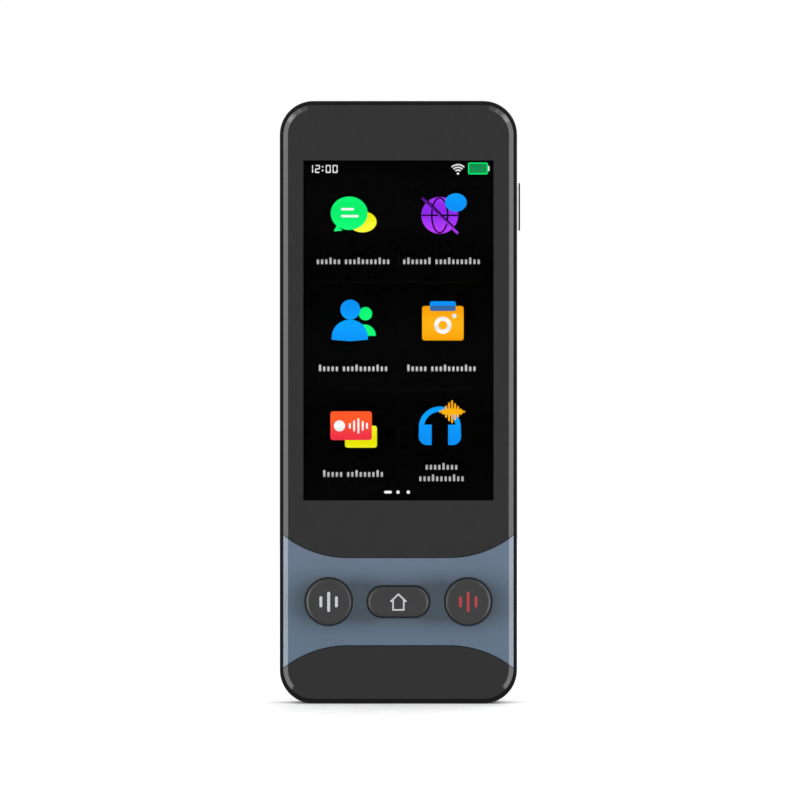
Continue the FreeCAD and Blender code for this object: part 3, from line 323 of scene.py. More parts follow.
def band_paint():
    """Satin metallic-effect paint on moulded ABS: a grey-blue band with painted shade in its colour, darker
    round its buttons, where their raised caps would shade it, and a little darker towards its lower edge."""
    finish = new_finish("satin_painted_ABS")
    where = add(finish, "ShaderNodeTexCoord").outputs["Object"]
    parts = add(finish, "ShaderNodeSeparateXYZ", {"Vector": where})
    across = add(finish, "ShaderNodeMath", {0: parts.outputs[0]}, operation="ABSOLUTE").outputs[0]
    height = parts.outputs[2]
    above = {0: height, 1: BUTTON_HEIGHT * MM}
    rise = add(finish, "ShaderNodeMath", above, operation="SUBTRACT").outputs[0]
    # How near a point is to a talk button's middle, and to the home button's middle line
    aside = add(finish, "ShaderNodeMath", {0: across, 1: TALK_ACROSS * MM}, operation="SUBTRACT").outputs[0]
    to_talk = add(finish, "ShaderNodeCombineXYZ", {"X": aside, "Y": rise}).outputs[0]
    reach = (HOME_LENGTH - HOME_WIDTH) / 2 * MM
    past = add(finish, "ShaderNodeMath", {0: across, 1: reach}, operation="SUBTRACT").outputs[0]
    past = add(finish, "ShaderNodeMath", {0: past, 1: 0.0}, operation="MAXIMUM").outputs[0]
    to_home = add(finish, "ShaderNodeCombineXYZ", {"X": past, "Y": rise}).outputs[0]
    gaps = []
    # Painted shade: the band's colour darkens near each button, in place of the shadow that the raised caps
    # cast
    for vector, radius in ((to_talk, TALK_RADIUS), (to_home, HOME_WIDTH / 2)):
        length = add(finish, "ShaderNodeVectorMath", {0: vector}, operation="LENGTH").outputs["Value"]
        edge, end = radius * MM, (radius + PAINTED_SHADE_REACH) * MM
        fade = {"Value": length, "From Min": edge, "From Max": end, "To Min": 1, "To Max": 0}
        gaps.append(add(finish, "ShaderNodeMapRange", fade).outputs[0])
    both = add(finish, "ShaderNodeMath", {0: gaps[0], 1: gaps[1]}, operation="ADD").outputs[0]
    tall = add(finish, "ShaderNodeMath", {0: rise}, operation="ABSOLUTE").outputs[0]
    near, far = PAINTED_SHADE_NEAR * MM, PAINTED_SHADE_FAR * MM
    fade = {"Value": tall, "From Min": near, "From Max": far, "To Min": 1, "To Max": 0.2}
    level = add(finish, "ShaderNodeMapRange", fade).outputs[0]
    painted_shade = add(finish, "ShaderNodeMath", {0: both, 1: level}, operation="MULTIPLY").outputs[0]
    # Painted shade: the band's colour darkens a little towards its lower edge, standing in for how the light
    # falls across it
    low, high = LOWER_SEAM[0] * MM, UPPER_SEAM[0] * MM
    fade = {"Value": height, "From Min": low, "From Max": high, "To Min": 1, "To Max": 0}
    painted_low_shade = add(finish, "ShaderNodeMapRange", fade).outputs[0]
    flake = grain(finish, 0.12, 1)
    tones = {AMOUNT: painted_low_shade, FIRST: tone("#49586a"), SECOND: tone("#445668")}
    body = add(finish, "ShaderNodeMix", tones, data_type="RGBA").outputs[MIXED]
    # The painted shade's dark tone, mixed in round the buttons
    tones = {AMOUNT: painted_shade, FIRST: body, SECOND: tone("#222f3b")}
    shaded = add(finish, "ShaderNodeMix", tones, data_type="RGBA").outputs[MIXED]
    fade = {"Value": flake, "From Min": 0.35, "From Max": 0.75, "To Min": 0, "To Max": 0.06}
    speck = add(finish, "ShaderNodeMapRange", fade).outputs[0]
    tones = {AMOUNT: speck, FIRST: shaded, SECOND: tone("#8d9cac")}
    gloss = {"Value": flake, "To Min": 0.07, "To Max": 0.12}
    bump = add(finish, "ShaderNodeBump", {"Height": flake, "Distance": 0.0008 * MM, "Strength": 0.5})
    sockets = {
        "Base Color": add(finish, "ShaderNodeMix", tones, data_type="RGBA").outputs[MIXED],
        "Roughness": add(finish, "ShaderNodeMapRange", gloss).outputs[0],
        "Normal": bump.outputs[0],
        "IOR": 1.5,
    }
    return end_finish(finish, sockets)


def lit(name, upper, lower, span=6.0):
    """A lit patch of the screen's picture, which fades between two tones in each span of so many mm.
    The screen's pixels, 0.08 mm wide, are too fine to show, so they are drawn as coarse as 0.3 mm."""
    finish = new_finish(name)
    where = add(finish, "ShaderNodeTexCoord").outputs["Object"]
    height = add(finish, "ShaderNodeSeparateXYZ", {"Vector": where}).outputs[2]
    turns = {0: height, 1: math.pi / (span * MM)}
    turns = add(finish, "ShaderNodeMath", turns, operation="MULTIPLY").outputs[0]
    wave = add(finish, "ShaderNodeMath", {0: turns}, operation="SINE").outputs[0]
    amount = add(finish, "ShaderNodeMapRange", {"Value": wave, "From Min": -1, "From Max": 1}).outputs[0]
    tones = {AMOUNT: amount, FIRST: tone(lower), SECOND: tone(upper)}
    gloss = {"Value": grain(finish, 0.3), "To Min": 0.7, "To Max": 0.9}
    sockets = {
        "Base Color": tone("#020202"),
        "Specular IOR Level": 0.0,
        "Emission Color": add(finish, "ShaderNodeMix", tones, data_type="RGBA").outputs[MIXED],
        "Emission Strength": 1.0,
        "Roughness": add(finish, "ShaderNodeMapRange", gloss).outputs[0],
    }
    return end_finish(finish, sockets)


def clear_window():
    """Float glass with an anti-reflective coat: the screen reads as deep black behind it."""
    finish = new_finish("coated_float_glass")
    smear = {"Value": grain(finish, 9), "From Min": 0.4, "From Max": 0.8, "To Min": 0.0, "To Max": 0.01}
    sockets = {
        "Base Color": tone("#ffffff"),
        "Transmission Weight": 1.0,
        "IOR": 1.03,
        "Roughness": add(finish, "ShaderNodeMapRange", smear).outputs[0],
    }
    return end_finish(finish, sockets)


def woven_cloth():
    """Woven polyester mesh over the speaker: a dull check of threads, over and under. A Wave texture
    repeats 20 / (2 pi) times in each unit, so the threads are drawn 1.6 mm apart. Real ones are 0.25 mm
    apart."""
    finish = new_finish("woven_polyester_mesh")
    where = add(finish, "ShaderNodeTexCoord").outputs["Object"]
    waves = []
    for axis in "XZ":
        links = {"Vector": where, "Scale": 1 / (0.25 * MM) / 20, "Distortion": 0.3}
        waves.append(add(finish, "ShaderNodeTexWave", links, bands_direction=axis).outputs["Fac"])
    weave = add(finish, "ShaderNodeMath", {0: waves[0], 1: waves[1]}, operation="MULTIPLY").outputs[0]
    bump = add(finish, "ShaderNodeBump", {"Height": weave, "Distance": 0.05 * MM})
    tones = {AMOUNT: weave, FIRST: tone("#101113"), SECOND: tone("#34363a")}
    gloss = {"Value": weave, "To Min": 0.9, "To Max": 0.7}
    sockets = {
        "Base Color": add(finish, "ShaderNodeMix", tones, data_type="RGBA").outputs[MIXED],
        "Roughness": add(finish, "ShaderNodeMapRange", gloss).outputs[0],
        "Sheen Weight": 0.2,
        "Normal": bump.outputs[0],
    }
    return end_finish(finish, sockets)


def etched_board():
    """Solder-masked glass-epoxy laminate: copper pads about 1 mm wide and 1.6 mm apart show through the
    mask as paler green."""
    finish = new_finish("solder_masked_laminate")
    where = add(finish, "ShaderNodeTexCoord").outputs["Object"]
    links = {"Vector": where, "Scale": 1 / (1.6 * MM), "Randomness": 0.4}
    cells = add(finish, "ShaderNodeTexVoronoi", links, distance="MANHATTAN", feature="F1").outputs["Distance"]
    edge = {"Value": cells, "From Min": 0.3, "From Max": 0.45, "To Min": 1, "To Max": 0}
    tracks = add(finish, "ShaderNodeMapRange", edge).outputs[0]
    bump = add(finish, "ShaderNodeBump", {"Height": tracks, "Distance": 0.03 * MM})
    tones = {AMOUNT: tracks, FIRST: tone("#0c3a28"), SECOND: tone("#1d6a48")}
    gloss = {"Value": grain(finish, 0.5), "To Min": 0.25, "To Max": 0.4}
    sockets = {
        "Base Color": add(finish, "ShaderNodeMix", tones, data_type="RGBA").outputs[MIXED],
        "Roughness": add(finish, "ShaderNodeMapRange", gloss).outputs[0],
        "Normal": bump.outputs[0],
        "IOR": 1.55,
    }
    return end_finish(finish, sockets)


def turned_ring():
    """Turned and anodised aluminium: rings from the cutting tool glint round the camera. They are drawn
    0.75 mm apart. Real ones are 0.12 mm apart."""
    finish = new_finish("turned_anodised_aluminium")
    where = add(finish, "ShaderNodeTexCoord").outputs["Object"]
    centre = {"Vector": where, "Location": (-CAMERA_X * MM, 0, -CAMERA_Z * MM)}
    middle = add(finish, "ShaderNodeMapping", centre).outputs[0]
    flat = add(finish, "ShaderNodeVectorMath", {0: middle, 1: (1, 0, 1)}, operation="MULTIPLY").outputs[0]
    links = {"Vector": flat, "Scale": 1 / (0.12 * MM) / 20, "Distortion": 0.4, "Detail": 1}
    rings = {"wave_type": "RINGS", "rings_direction": "SPHERICAL"}
    lines = add(finish, "ShaderNodeTexWave", links, **rings).outputs["Fac"]
    bump = add(finish, "ShaderNodeBump", {"Height": lines, "Distance": 0.004 * MM, "Strength": 0.4})
    tones = {AMOUNT: lines, FIRST: tone("#2a2c30"), SECOND: tone("#4a4d53")}
    gloss = {"Value": lines, "To Min": 0.25, "To Max": 0.4}
    sockets = {
        "Base Color": add(finish, "ShaderNodeMix", tones, data_type="RGBA").outputs[MIXED],
        "Metallic": 1.0,
        "Roughness": add(finish, "ShaderNodeMapRange", gloss).outputs[0],
        "Normal": bump.outputs[0],
    }
    return end_finish(finish, sockets)


# Each finish by the record's material slot: dark and light tone, grain in mm, roughness range, relief in mm
MATT, SATIN, GLOSS = (0.55, 0.7), (0.3, 0.42), (0.04, 0.08)
finishes = {
    # Float glass printed black on its back: a deep gloss with a faint milkiness from the print's dots
    "black_print_glass": grained("back_printed_float_glass", "#101011", "#161618", 0.4, GLOSS, 0, IOR=1.38),
    "slate_plastic": band_paint(),
    # Polished moulded acrylic: reads like the glass next to it
    "black_gloss_plastic": grained("polished_moulded_acrylic", "#101011", "#161618", 0.5, GLOSS, 0, IOR=1.38),
    # Spark-eroded polycarbonate: a very fine, even satin that stays nearly black
    "frame_plastic": grained(
        "spark_eroded_polycarbonate", "#050506", "#0b0b0d", 0.18, (0.36, 0.5), 0.004,
        IOR=1.5, Specular_IOR_Level=0.1,
    ),
    # Soft-touch lacquer over polycarbonate: matt, slightly pebbled, pale only where light grazes it
    "cover_plastic": grained("soft_touch_lacquer", "#17191d", "#23262b", 0.22, (0.45, 0.6), 0.012, IOR=1.45),
    # Moulded charcoal ABS with a satin tool finish: a soft sheen that shows the edges of the caps
    "button_plastic": grained("satin_moulded_ABS", "#131315", "#1d1d1f", 0.2, (0.2, 0.28), 0.002, IOR=1.5),
    # Two-shot moulded inlays: solid colour through their depth, the white one a little grey
    "white_inlay": grained("white_two_shot_ABS", "#9a9c9f", "#afb1b4", 0.3, SATIN, 0.002, IOR=1.5),
    "red_inlay": grained("red_two_shot_ABS", "#861b23", "#9c2029", 0.3, SATIN, 0.002, IOR=1.5),
    "dark_aluminium": turned_ring(),
    # Polished lens glass, dark from what lies behind it
    "window_glass": grained(
        "polished_lens_glass", "#050507", "#0a0b10", 2.0, (0.01, 0.04), 0, IOR=1.52, Coat_Weight=0.5
    ),
    # Milky clear polycarbonate over the lamp: pale yellow and softly clouded
    "flash_plastic": grained("milky_polycarbonate", "#d8d2b4", "#f0ead2", 0.8, (0.15, 0.3), 0.01, IOR=1.58),
    # Closed-cell foam between two films: dull black and finely pocked
    "foam_tape": grained("closed_cell_foam_tape", "#0d0d0e", "#1c1c1e", 0.35, MATT, 0.04, IOR=1.4),
    # Cast clear adhesive over the dark cell: smooth and glassy, almost black
    "clear_adhesive": grained("cast_optical_adhesive", "#0a0a0b", "#101012", 3.0, (0.1, 0.2), 0, IOR=1.45),
    # Dark polariser film laminated on the liquid crystal cell: near black, with a smooth shine
    "display_glass": grained("laminated_polariser", "#08090c", "#0e1014", 4.0, (0.06, 0.12), 0, IOR=1.5),
    # Rolled stainless sheet: long fine lines along the tray
    "backlight_steel": grained(
        "rolled_stainless_sheet", "#8b8d90", "#b9bbbe", 0.15, (0.25, 0.42), 0.004, (1, 1, 0.02), Metallic=1.0
    ),
    "board_laminate": etched_board(),
    # Transfer-moulded epoxy, faintly speckled by its silica filler
    "chip_resin": grained("moulded_epoxy_resin", "#141415", "#262628", 0.1, (0.5, 0.65), 0.01, IOR=1.55),
    # Tin-plated steel: pale silver with fine lines from being rolled one way
    "sheet_steel": grained(
        "tin_plated_steel", "#8f9193", "#c2c4c6", 0.2, (0.28, 0.45), 0.004, (0.03, 1, 1), Metallic=1.0
    ),
    # Polyimide film: clear amber over copper
    "flex_film": grained("polyimide_film", "#5a3408", "#8a5414", 0.9, (0.15, 0.3), 0.004, IOR=1.6),
    # Shrunk polyester sleeve: slightly wrinkled
    "battery_film": grained(
        "shrunk_polyester_sleeve", "#2c2d31", "#43454a", 3.0, (0.25, 0.4), 0.06, IOR=1.57
    ),
    # Zinc-plated, cold-headed steel: a cool grey with an uneven shine
    "screw_steel": grained("zinc_plated_steel", "#6f7174", "#a3a5a8", 0.2, (0.25, 0.4), 0.004, Metallic=1.0),
    # Deep-drawn stainless steel, with fine marks that run from front to back
    "port_steel": grained(
        "deep_drawn_stainless", "#84868a", "#b4b6ba", 0.12, (0.22, 0.36), 0.003, (1, 0.05, 1), Metallic=1.0
    ),
    # Glass-filled nylon: dull black with pale fibre ends
    "black_nylon": grained("glass_filled_nylon", "#101011", "#202022", 0.15, MATT, 0.015, IOR=1.53),
    # Moulded black polyester plastic: an even satin, a little greyer than the nylon
    "speaker_plastic": grained("moulded_black_PBT", "#141416", "#222226", 0.25, (0.4, 0.55), 0.008, IOR=1.55),
    "speaker_cloth": woven_cloth(),
    # Moulded silicone rubber: dusty matt black
    "seal_rubber": grained("moulded_silicone", "#121213", "#1f1f21", 0.4, (0.65, 0.8), 0.01, IOR=1.41),
}
window_finish = clear_window()
# Chrome-plated collar of the power button: mirror bright, faintly hazed by handling
collar_finish = grained("chrome_plated_zinc", "#d5d7da", "#eceef0", 1.5, (0.06, 0.16), 0.001, Metallic=1.0)

# Every carried-over CAD node takes the finish of its slot
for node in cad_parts.values():
    for holder in node.material_slots:
        holder.material = finishes[holder.material.name.split(".")[0]]

# Front pieces


def rim_steps():
    """From the side of a front piece up its slope, to the softened line where the slope ends.
    Each step is an inset and a depth."""
    fall = BEVEL_DROP / BEVEL_WIDTH
    soften = BEVEL_ROUND * math.tan(math.atan(fall) / 2)
    start = (BEVEL_WIDTH - soften * math.cos(math.atan(fall)), soften * math.sin(math.atan(fall)))
    steps = [(0, SKIN_DEPTH)]
    low = BEVEL_DROP - RIM_ROUND * fall
    steps += [(RIM_ROUND * t, low + RIM_ROUND * (1 - t) ** 2) for t in (0, 1 / 3, 2 / 3, 1)]
    for t in (k / 6 for k in range(7)):
        inset = (1 - t) ** 2 * start[0] + 2 * t * (1 - t) * BEVEL_WIDTH + t * t * (BEVEL_WIDTH + soften)
        steps.append((inset, (1 - t) ** 2 * start[1]))
    return steps


def seam_inset(depth):
    """How far a seam's edge is rounded back at a depth below the piece's own front."""
    if depth >= SEAM_ROUND:
        return 0
    return SEAM_ROUND - math.sqrt(SEAM_ROUND**2 - (SEAM_ROUND - depth) ** 2)


def front_piece(low_seam, high_seam, front):
    """The outer rim of a front piece. Gives the shape and the rings that its front and back lids fill."""
    shape = Shape()
    rings = [shape.ring(front_outline(low_seam, high_seam, 0, 0), SKIN_DEPTH)]
    for inset, depth in rim_steps()[1:]:
        outline = front_outline(low_seam, high_seam, inset, seam_inset(depth))
        rings.append(shape.ring(outline, front + depth))
    outline = front_outline(low_seam, high_seam, rim_steps()[-1][0] + LAND, SEAM_ROUND + LAND)
    rings.append(shape.ring(outline, front))
    shape.wall(*rings)
    return shape, rings[-1], rings[0]


glass, front_ring, back_ring = front_piece(UPPER_SEAM, None, 0)
view = round_box(-VIEW_SIDE, VIEW_SIDE, VIEW_LOW, VIEW_TOP, VIEW_ROUND)
near, far = glass.ring(view, 0), glass.ring(view, SKIN_DEPTH)
glass.lid(front_ring, near)
glass.lid(back_ring, far)
glass.lid(near, finish=1)
glass.lid(far, finish=1)
glass_looks = (finishes["black_print_glass"], window_finish)
glass.done("front_glass", "housing", "black_print_glass", glass_looks, "cover_glass")

chin, front_ring, back_ring = front_piece(None, LOWER_SEAM, 0)
chin.lid(front_ring)
chin.lid(back_ring)
chin.done("chin_piece", "housing", "black_gloss_plastic", (finishes["black_gloss_plastic"],), "chin_cover")

band, front_ring, back_ring = front_piece(LOWER_SEAM, UPPER_SEAM, PANEL_FRONT)
front_holes, back_holes = [], []
for outline in (talk_outline(-TALK_ACROSS), home_outline, talk_outline(TALK_ACROSS)):
    rings = [band.ring(outline(BUTTON_GAP + HOLE_ROUND + LAND), PANEL_FRONT)]
    for k in range(EDGE_STEPS + 1):
        turn = math.radians(90 * k / EDGE_STEPS)
        grow = BUTTON_GAP + HOLE_ROUND * (1 - math.sin(turn))
        depth = PANEL_FRONT + HOLE_ROUND * (1 - math.cos(turn))
        rings.append(band.ring(outline(grow), depth))
    rings.append(band.ring(outline(BUTTON_GAP), COLLAR_DEPTH))
    rings.append(band.ring(outline(BUTTON_GAP + COLLAR_WALL), COLLAR_DEPTH))
    rings.append(band.ring(outline(BUTTON_GAP + COLLAR_WALL), SKIN_DEPTH))
    band.wall(*rings)
    front_holes.append(rings[0])
    back_holes.append(rings[-1])
band.lid(front_ring, *front_holes)
band.lid(back_ring, *back_holes)
band.done("button_band", "housing", "slate_plastic", (finishes["slate_plastic"],), "button_panel")

# Buttons and their inlaid symbols


def front_button(label, x, outline, symbol, inlay):
    """A cap with its flange, post and symbol pocket, and the inlay that fills the pocket."""
    cap = Shape()
    slope = math.atan(CAP_DROP / CAP_SLOPE)
    rim = CAP_SLOPE + CAP_ROUND * (1 - math.sin(slope))
    rings = [cap.ring(outline(-rim - back), CAP_FRONT) for back in (CAP_SETBACK + LAND, CAP_SETBACK)]
    rings.append(cap.ring(outline(-rim + CAP_EASE), CAP_FRONT + CAP_EASE_DROP))
    for k in range(EDGE_STEPS + 1):
        turn = slope + (math.pi / 2 - slope) * k / EDGE_STEPS
        grow = CAP_ROUND * (math.sin(turn) - 1)
        depth = CAP_FRONT + CAP_DROP + CAP_ROUND * (math.cos(slope) - math.cos(turn))
        rings.append(cap.ring(outline(grow), depth))
    rings.append(cap.ring(outline(0), FLANGE_FRONT))
    rings.append(cap.ring(outline(FLANGE_REACH), FLANGE_FRONT))
    rings.append(cap.ring(outline(FLANGE_REACH), FLANGE_BACK))
    cap.wall(*rings)
    post_outline = circle(x, BUTTON_HEIGHT, POST_RADIUS, 48)
    post = [cap.ring(post_outline, depth) for depth in (FLANGE_BACK, POST_BACK)]
    cap.wall(*post)
    cap.lid(rings[-1], post[0])
    cap.lid(post[1])
    pockets, floor = symbol(LEGEND_GAP), CAP_FRONT + LEGEND_DEPTH + LEGEND_GAP
    tops = [cap.ring(line, CAP_FRONT) for line in pockets]
    floors = [cap.ring(line, floor) for line in pockets]
    for pair in zip(tops, floors):
        cap.wall(*pair)
    if label == "home":
        # The symbol is one line, so the cap's front goes on inside it
        cap.lid(rings[0], tops[0])
        cap.lid(tops[1])
        cap.lid(*floors)
    else:
        cap.lid(rings[0], *tops)
        for line in floors:
            cap.lid(line)
    cap.done(f"{label}_cap", label, "button_plastic", (finishes["button_plastic"],), f"{label}_button")
    inset = Shape()
    if label == "home":
        inset.plate(CAP_FRONT, CAP_FRONT + LEGEND_DEPTH, *symbol(0))
    else:
        for line in symbol(0):
            inset.plate(CAP_FRONT, CAP_FRONT + LEGEND_DEPTH, line)
    inset.done(f"{label}_symbol", label, inlay, (finishes[inlay],), f"{label}_legend")


front_button("left_talk", -TALK_ACROSS, talk_outline(-TALK_ACROSS), voice_bars(-TALK_ACROSS), "white_inlay")
front_button("home", 0, home_outline, house_lines, "white_inlay")
front_button("right_talk", TALK_ACROSS, talk_outline(TALK_ACROSS), voice_bars(TALK_ACROSS), "red_inlay")

# The power button: a black face on a bright plated collar, with its flange and post behind the wall


def power_outline(grow):
    return pill(POWER_ACROSS, POWER_HEIGHT, POWER_LENGTH + 2 * grow, POWER_WIDTH + 2 * grow, True, 24)


power = Shape(from_side=True)
rings = [power.ring(power_outline(POWER_REACH), x) for x in (POWER_BACK, POWER_FLANGE)]
rings += [power.ring(power_outline(0), x) for x in (POWER_FLANGE, POWER_COLLAR)]
face = [power.ring(power_outline(0), POWER_COLLAR)]
for k in range(7):
    turn = math.radians(15 * k)
    outline = power_outline(-POWER_ROUND * (1 - math.cos(turn)))
    face.append(power.ring(outline, POWER_FACE - POWER_ROUND * (1 - math.sin(turn))))
outline = pill(POWER_ACROSS, POWER_HEIGHT, POWER_POST_WIDTH, POWER_POST_WIDTH, True, 12)
post = [power.ring(outline, x) for x in (POWER_POST, POWER_BACK)]
power.wall(*rings, finish=1)
power.wall(*face)
power.wall(*post)
power.lid(face[-1])
power.lid(rings[0], post[1])
power.lid(post[0])
power.done("power_key", "power", "button_plastic", (finishes["frame_plastic"], collar_finish), "power_button")

# The lit screen. Its picture is plain lit symbols over rows of short bars.

LAMPS = (
    lit("lit_black", "#030303", "#000000", 20),
    lit("lit_line", "#101010", "#0a0a0a", 8),
    lit("lit_white", "#ffffff", "#e6e6e6", 1.5),
    lit("lit_grey", "#c4c4c4", "#aaaaaa", 1.5),
    lit("lit_green", "#14ff78", "#0aee6c"),
    lit("lit_yellow", "#ffff3c", "#e6e600"),
    lit("lit_purple", "#b43cfa", "#8c28e6"),
    lit("lit_blue", "#0aa0ff", "#0a90f5"),
    lit("lit_orange", "#ffb414", "#f59b00"),
    lit("lit_red", "#ff5a28", "#f03246"),
    lit("lit_deep_blue", "#3c78b4", "#32649b"),
    lit("lit_leaf_green", "#1eaa64", "#148c50"),
)
BLACK, LINE, WHITE, GREY, GREEN, YELLOW, PURPLE, BLUE, ORANGE, RED, DEEP, LEAF = range(12)

screen = Shape()
sheet = round_box(-SCREEN_SIDE, SCREEN_SIDE, SCREEN_LOW, SCREEN_TOP, SCREEN_ROUND)
screen.plate(SCREEN_FRONT, SCREEN_BACK, sheet, finish=BLACK)


def patch(layer, lamp, *outlines):
    """A lit patch of the picture; higher layers lie in front."""
    back = SCREEN_FRONT - PICTURE_LAYER * layer
    screen.plate(back - PICTURE_LAYER, back, *outlines, finish=lamp)


def box_patch(layer, lamp, left, right, low, top, radius=0.0, *holes):
    if radius:
        outline = round_box(left, right, low, top, radius)
    else:
        outline = [(left, low), (right, low), (right, top), (left, top)]
    patch(layer, lamp, outline, *holes)


# Grid lines
box_patch(0, LINE, -0.15, 0.05, 58.4, 137.9)
box_patch(0, LINE, -22.7, -0.15, 110.1, 110.3)
box_patch(0, LINE, 0.05, 21.3, 110.1, 110.3)
box_patch(0, LINE, -22.7, -0.15, 82.1, 82.3)
box_patch(0, LINE, 0.05, 21.3, 82.1, 82.3)
# Page dots
patch(0, WHITE, pill(-2.73, 55.28, 2.0, 0.7, False, 12))
patch(0, WHITE, circle(-0.11, 55.28, 0.44, 24))
patch(0, WHITE, circle(2.58, 55.28, 0.44, 24))
# Battery gauge and signal fan
box_patch(0, LEAF, 18.3, 23.3, 138.4, 141.3, 0.4)
box_patch(1, GREEN, 18.2, 23.4, 138.3, 141.4, 0.5, round_box(18.5, 23.1, 138.6, 141.1, 0.25))
box_patch(0, WHITE, 23.45, 23.8, 139.2, 140.5, 0.1)
fan = (15.55, 138.5)
patch(0, WHITE, circle(*fan, 0.3, 16))
for radius in (0.95, 1.65, 2.35):
    patch(0, WHITE, arc(*fan, radius + 0.17, 45, 135, 12) + arc(*fan, radius - 0.17, 135, 45, 12))

# Two speech bubbles
patch(0, YELLOW, ellipse(-9.4, 125.9, 3.7, 2.75))
patch(1, GREEN, ellipse(-12.87, 128.15, 4.84, 4.37))
patch(1, GREEN, [(-16.9, 123.4), (-14.6, 123.62), (-16.1, 125.0)])
box_patch(2, WHITE, -15.0, -11.6, 128.9, 129.5, 0.25)
box_patch(2, WHITE, -15.0, -10.4, 127.1, 127.7, 0.25)
# A globe with a stroke through it, and a disc
patch(0, PURPLE, circle(10.79, 127.6, 4.8, 64))
patch(1, BLACK, pill(10.79, 127.6, 9.5, 0.4, False, 8))
patch(1, BLACK, ellipse(10.79, 127.6, 2.3, 4.75), ellipse(10.79, 127.6, 1.85, 4.35))
patch(2, BLUE, ellipse(15.0, 130.95, 2.85, 2.4))
patch(3, BLACK, [(5.3, 132.6), (15.6, 122.3), (16.3, 123.0), (6.0, 133.3)])
patch(3, PURPLE, [(6.0, 131.9), (15.3, 122.6), (15.8, 123.1), (6.5, 132.4)])
# Two people
patch(0, GREEN, circle(-8.6, 101.9, 1.75, 32))
patch(0, GREEN, arc(-8.9, 96.1, 3.0, 0, 180, 24))
patch(1, BLUE, circle(-12.58, 102.96, 2.6, 48))
patch(1, BLUE, arc(-12.7, 95.6, 4.75, 0, 180, 32) + [(-17.4, 95.1), (-12.7, 94.7), (-8.0, 95.1)])
# A camera
patch(2, BLUE, round_box(8.2, 15.0, 103.3, 105.15, 0.6))
patch(1, ORANGE, round_box(6.19, 17.03, 94.91, 103.93, 0.7))
patch(3, DEEP, round_box(8.2, 15.0, 102.6, 104.0, 0.6))
patch(2, WHITE, circle(11.6, 98.9, 2.25, 48), circle(11.6, 98.9, 1.15, 48))
patch(2, WHITE, circle(14.6, 101.3, 0.6, 24))
# A recorder
patch(0, YELLOW, round_box(-13.97, -5.6, 66.9, 72.65, 0.7))
patch(1, RED, round_box(-17.78, -6.94, 68.87, 76.4, 0.7))
patch(2, WHITE, circle(-15.4, 72.6, 1.46, 32))
for number, length in enumerate((1.5, 2.9, 4.0, 2.6, 1.6)):
    patch(2, WHITE, pill(-12.7 + 1.12 * number, 72.6, length, 0.5, True, 8))
# Headphones and a sound wave
patch(0, BLUE, arc(10.83, 72.15, 5.5, 0, 180, 40) + arc(10.83, 72.15, 4.15, 180, 0, 40))
for side in (-1, 1):
    cup = [(10.83 - side * 2.16, 72.9), (10.83 - side * 2.16, 67.6), (10.83 - side * 3.4, 67.6)]
    for turn in range(10, 91, 10):
        out, rise = math.sin(math.radians(turn)), math.cos(math.radians(turn))
        cup.append((10.83 - side * (3.4 + 2.15 * out), 69.9 - 2.3 * rise))
    cup += [(10.83 - side * 5.45, 72.0), (10.83 - side * 5.2, 72.9)]
    patch(1, BLUE, cup)
for number, length in enumerate((0.6, 1.5, 3.2, 4.9, 6.0, 4.4, 3.0, 1.6, 0.6)):
    patch(2, ORANGE, pill(10.9 + 0.78 * number, 76.3, length, 0.5, True, 8))
patch(2, ORANGE, ellipse(14.0, 76.3, 2.9, 0.9, 24))


def caption(x, z, *groups):
    """Groups of short plain bars under a symbol, set about a middle, with the number of bars in each."""
    pitch, gap = 1.1, 0.75
    short, tall, drop, width, ends = 0.6, 1.1, 0.65, 0.58, 0.1
    left = x - (sum(groups) * pitch + gap * (len(groups) - 1)) / 2
    for bars in groups:
        for k in range(bars):
            rise = tall if (3 * k + bars) % 5 == 0 else short
            start = left + ends
            box_patch(0, GREY, start, start + width, z - drop, z + rise, 0.2)
            left += pitch
        left += gap


caption(-11.7, 115.5, 6, 11)
caption(11.4, 115.5, 7, 11)
caption(-11.7, 87.5, 5, 11)
caption(11.4, 87.5, 5, 11)
caption(-11.7, 59.9, 5, 9)
caption(11.4, 61.8, 8)
caption(11.4, 58.8, 11)

# The clock: plain seven-bar numbers. Each bar has a side, or 0 for a level one, and a height in halves.
DIGIT_WIDTH, DIGIT_HEIGHT, DIGIT_LINE, DIGIT_GAP = 1.3, 2.05, 0.27, 0.05
BARS = {"a": (0, 2), "b": (1, 1), "c": (1, 0), "d": (0, 0), "e": (-1, 0), "f": (-1, 1), "g": (0, 1)}
DIGITS = {"0": "abcdef", "1": "bc", "2": "abged"}


def digit(number, x, z):
    for bar in DIGITS[number]:
        side, level = BARS[bar]
        if side == 0:
            left, right = x + DIGIT_LINE / 2, x + DIGIT_WIDTH - DIGIT_LINE / 2
            low = z + level * (DIGIT_HEIGHT - DIGIT_LINE) / 2
            box_patch(0, WHITE, left, right, low, low + DIGIT_LINE, 0.12)
        else:
            left = x if side < 0 else x + DIGIT_WIDTH - DIGIT_LINE
            low, top = z + level * DIGIT_HEIGHT / 2, z + (level + 1) * DIGIT_HEIGHT / 2
            box_patch(1, WHITE, left, left + DIGIT_LINE, low + DIGIT_GAP, top - DIGIT_GAP, 0.12)


for number, x in zip("1200", (-23.6, -21.8, -19.0, -17.2)):
    digit(number, x, 138.7)
patch(0, WHITE, circle(-19.8, 139.3, 0.22, 12))
patch(0, WHITE, circle(-19.8, 140.3, 0.22, 12))

screen.done("lit_screen", "housing", "clear_adhesive", LAMPS, "optical_adhesive")

# Camera ring, window and flash, turned finer than the CAD mesh


def turned(name, slot, x, z, section, node, bore=False, steps=128):
    """A round piece from its half section, which has a radius and a depth for each of its corners."""
    shape = Shape()
    rings = [shape.ring(circle(x, z, radius, steps), depth) for radius, depth in section]
    shape.wall(*rings)
    if bore:
        shape.wall(rings[-1], rings[0])
    else:
        shape.lid(rings[0])
        shape.lid(rings[-1])
    shape.done(name, "housing", slot, (finishes[slot],), node)


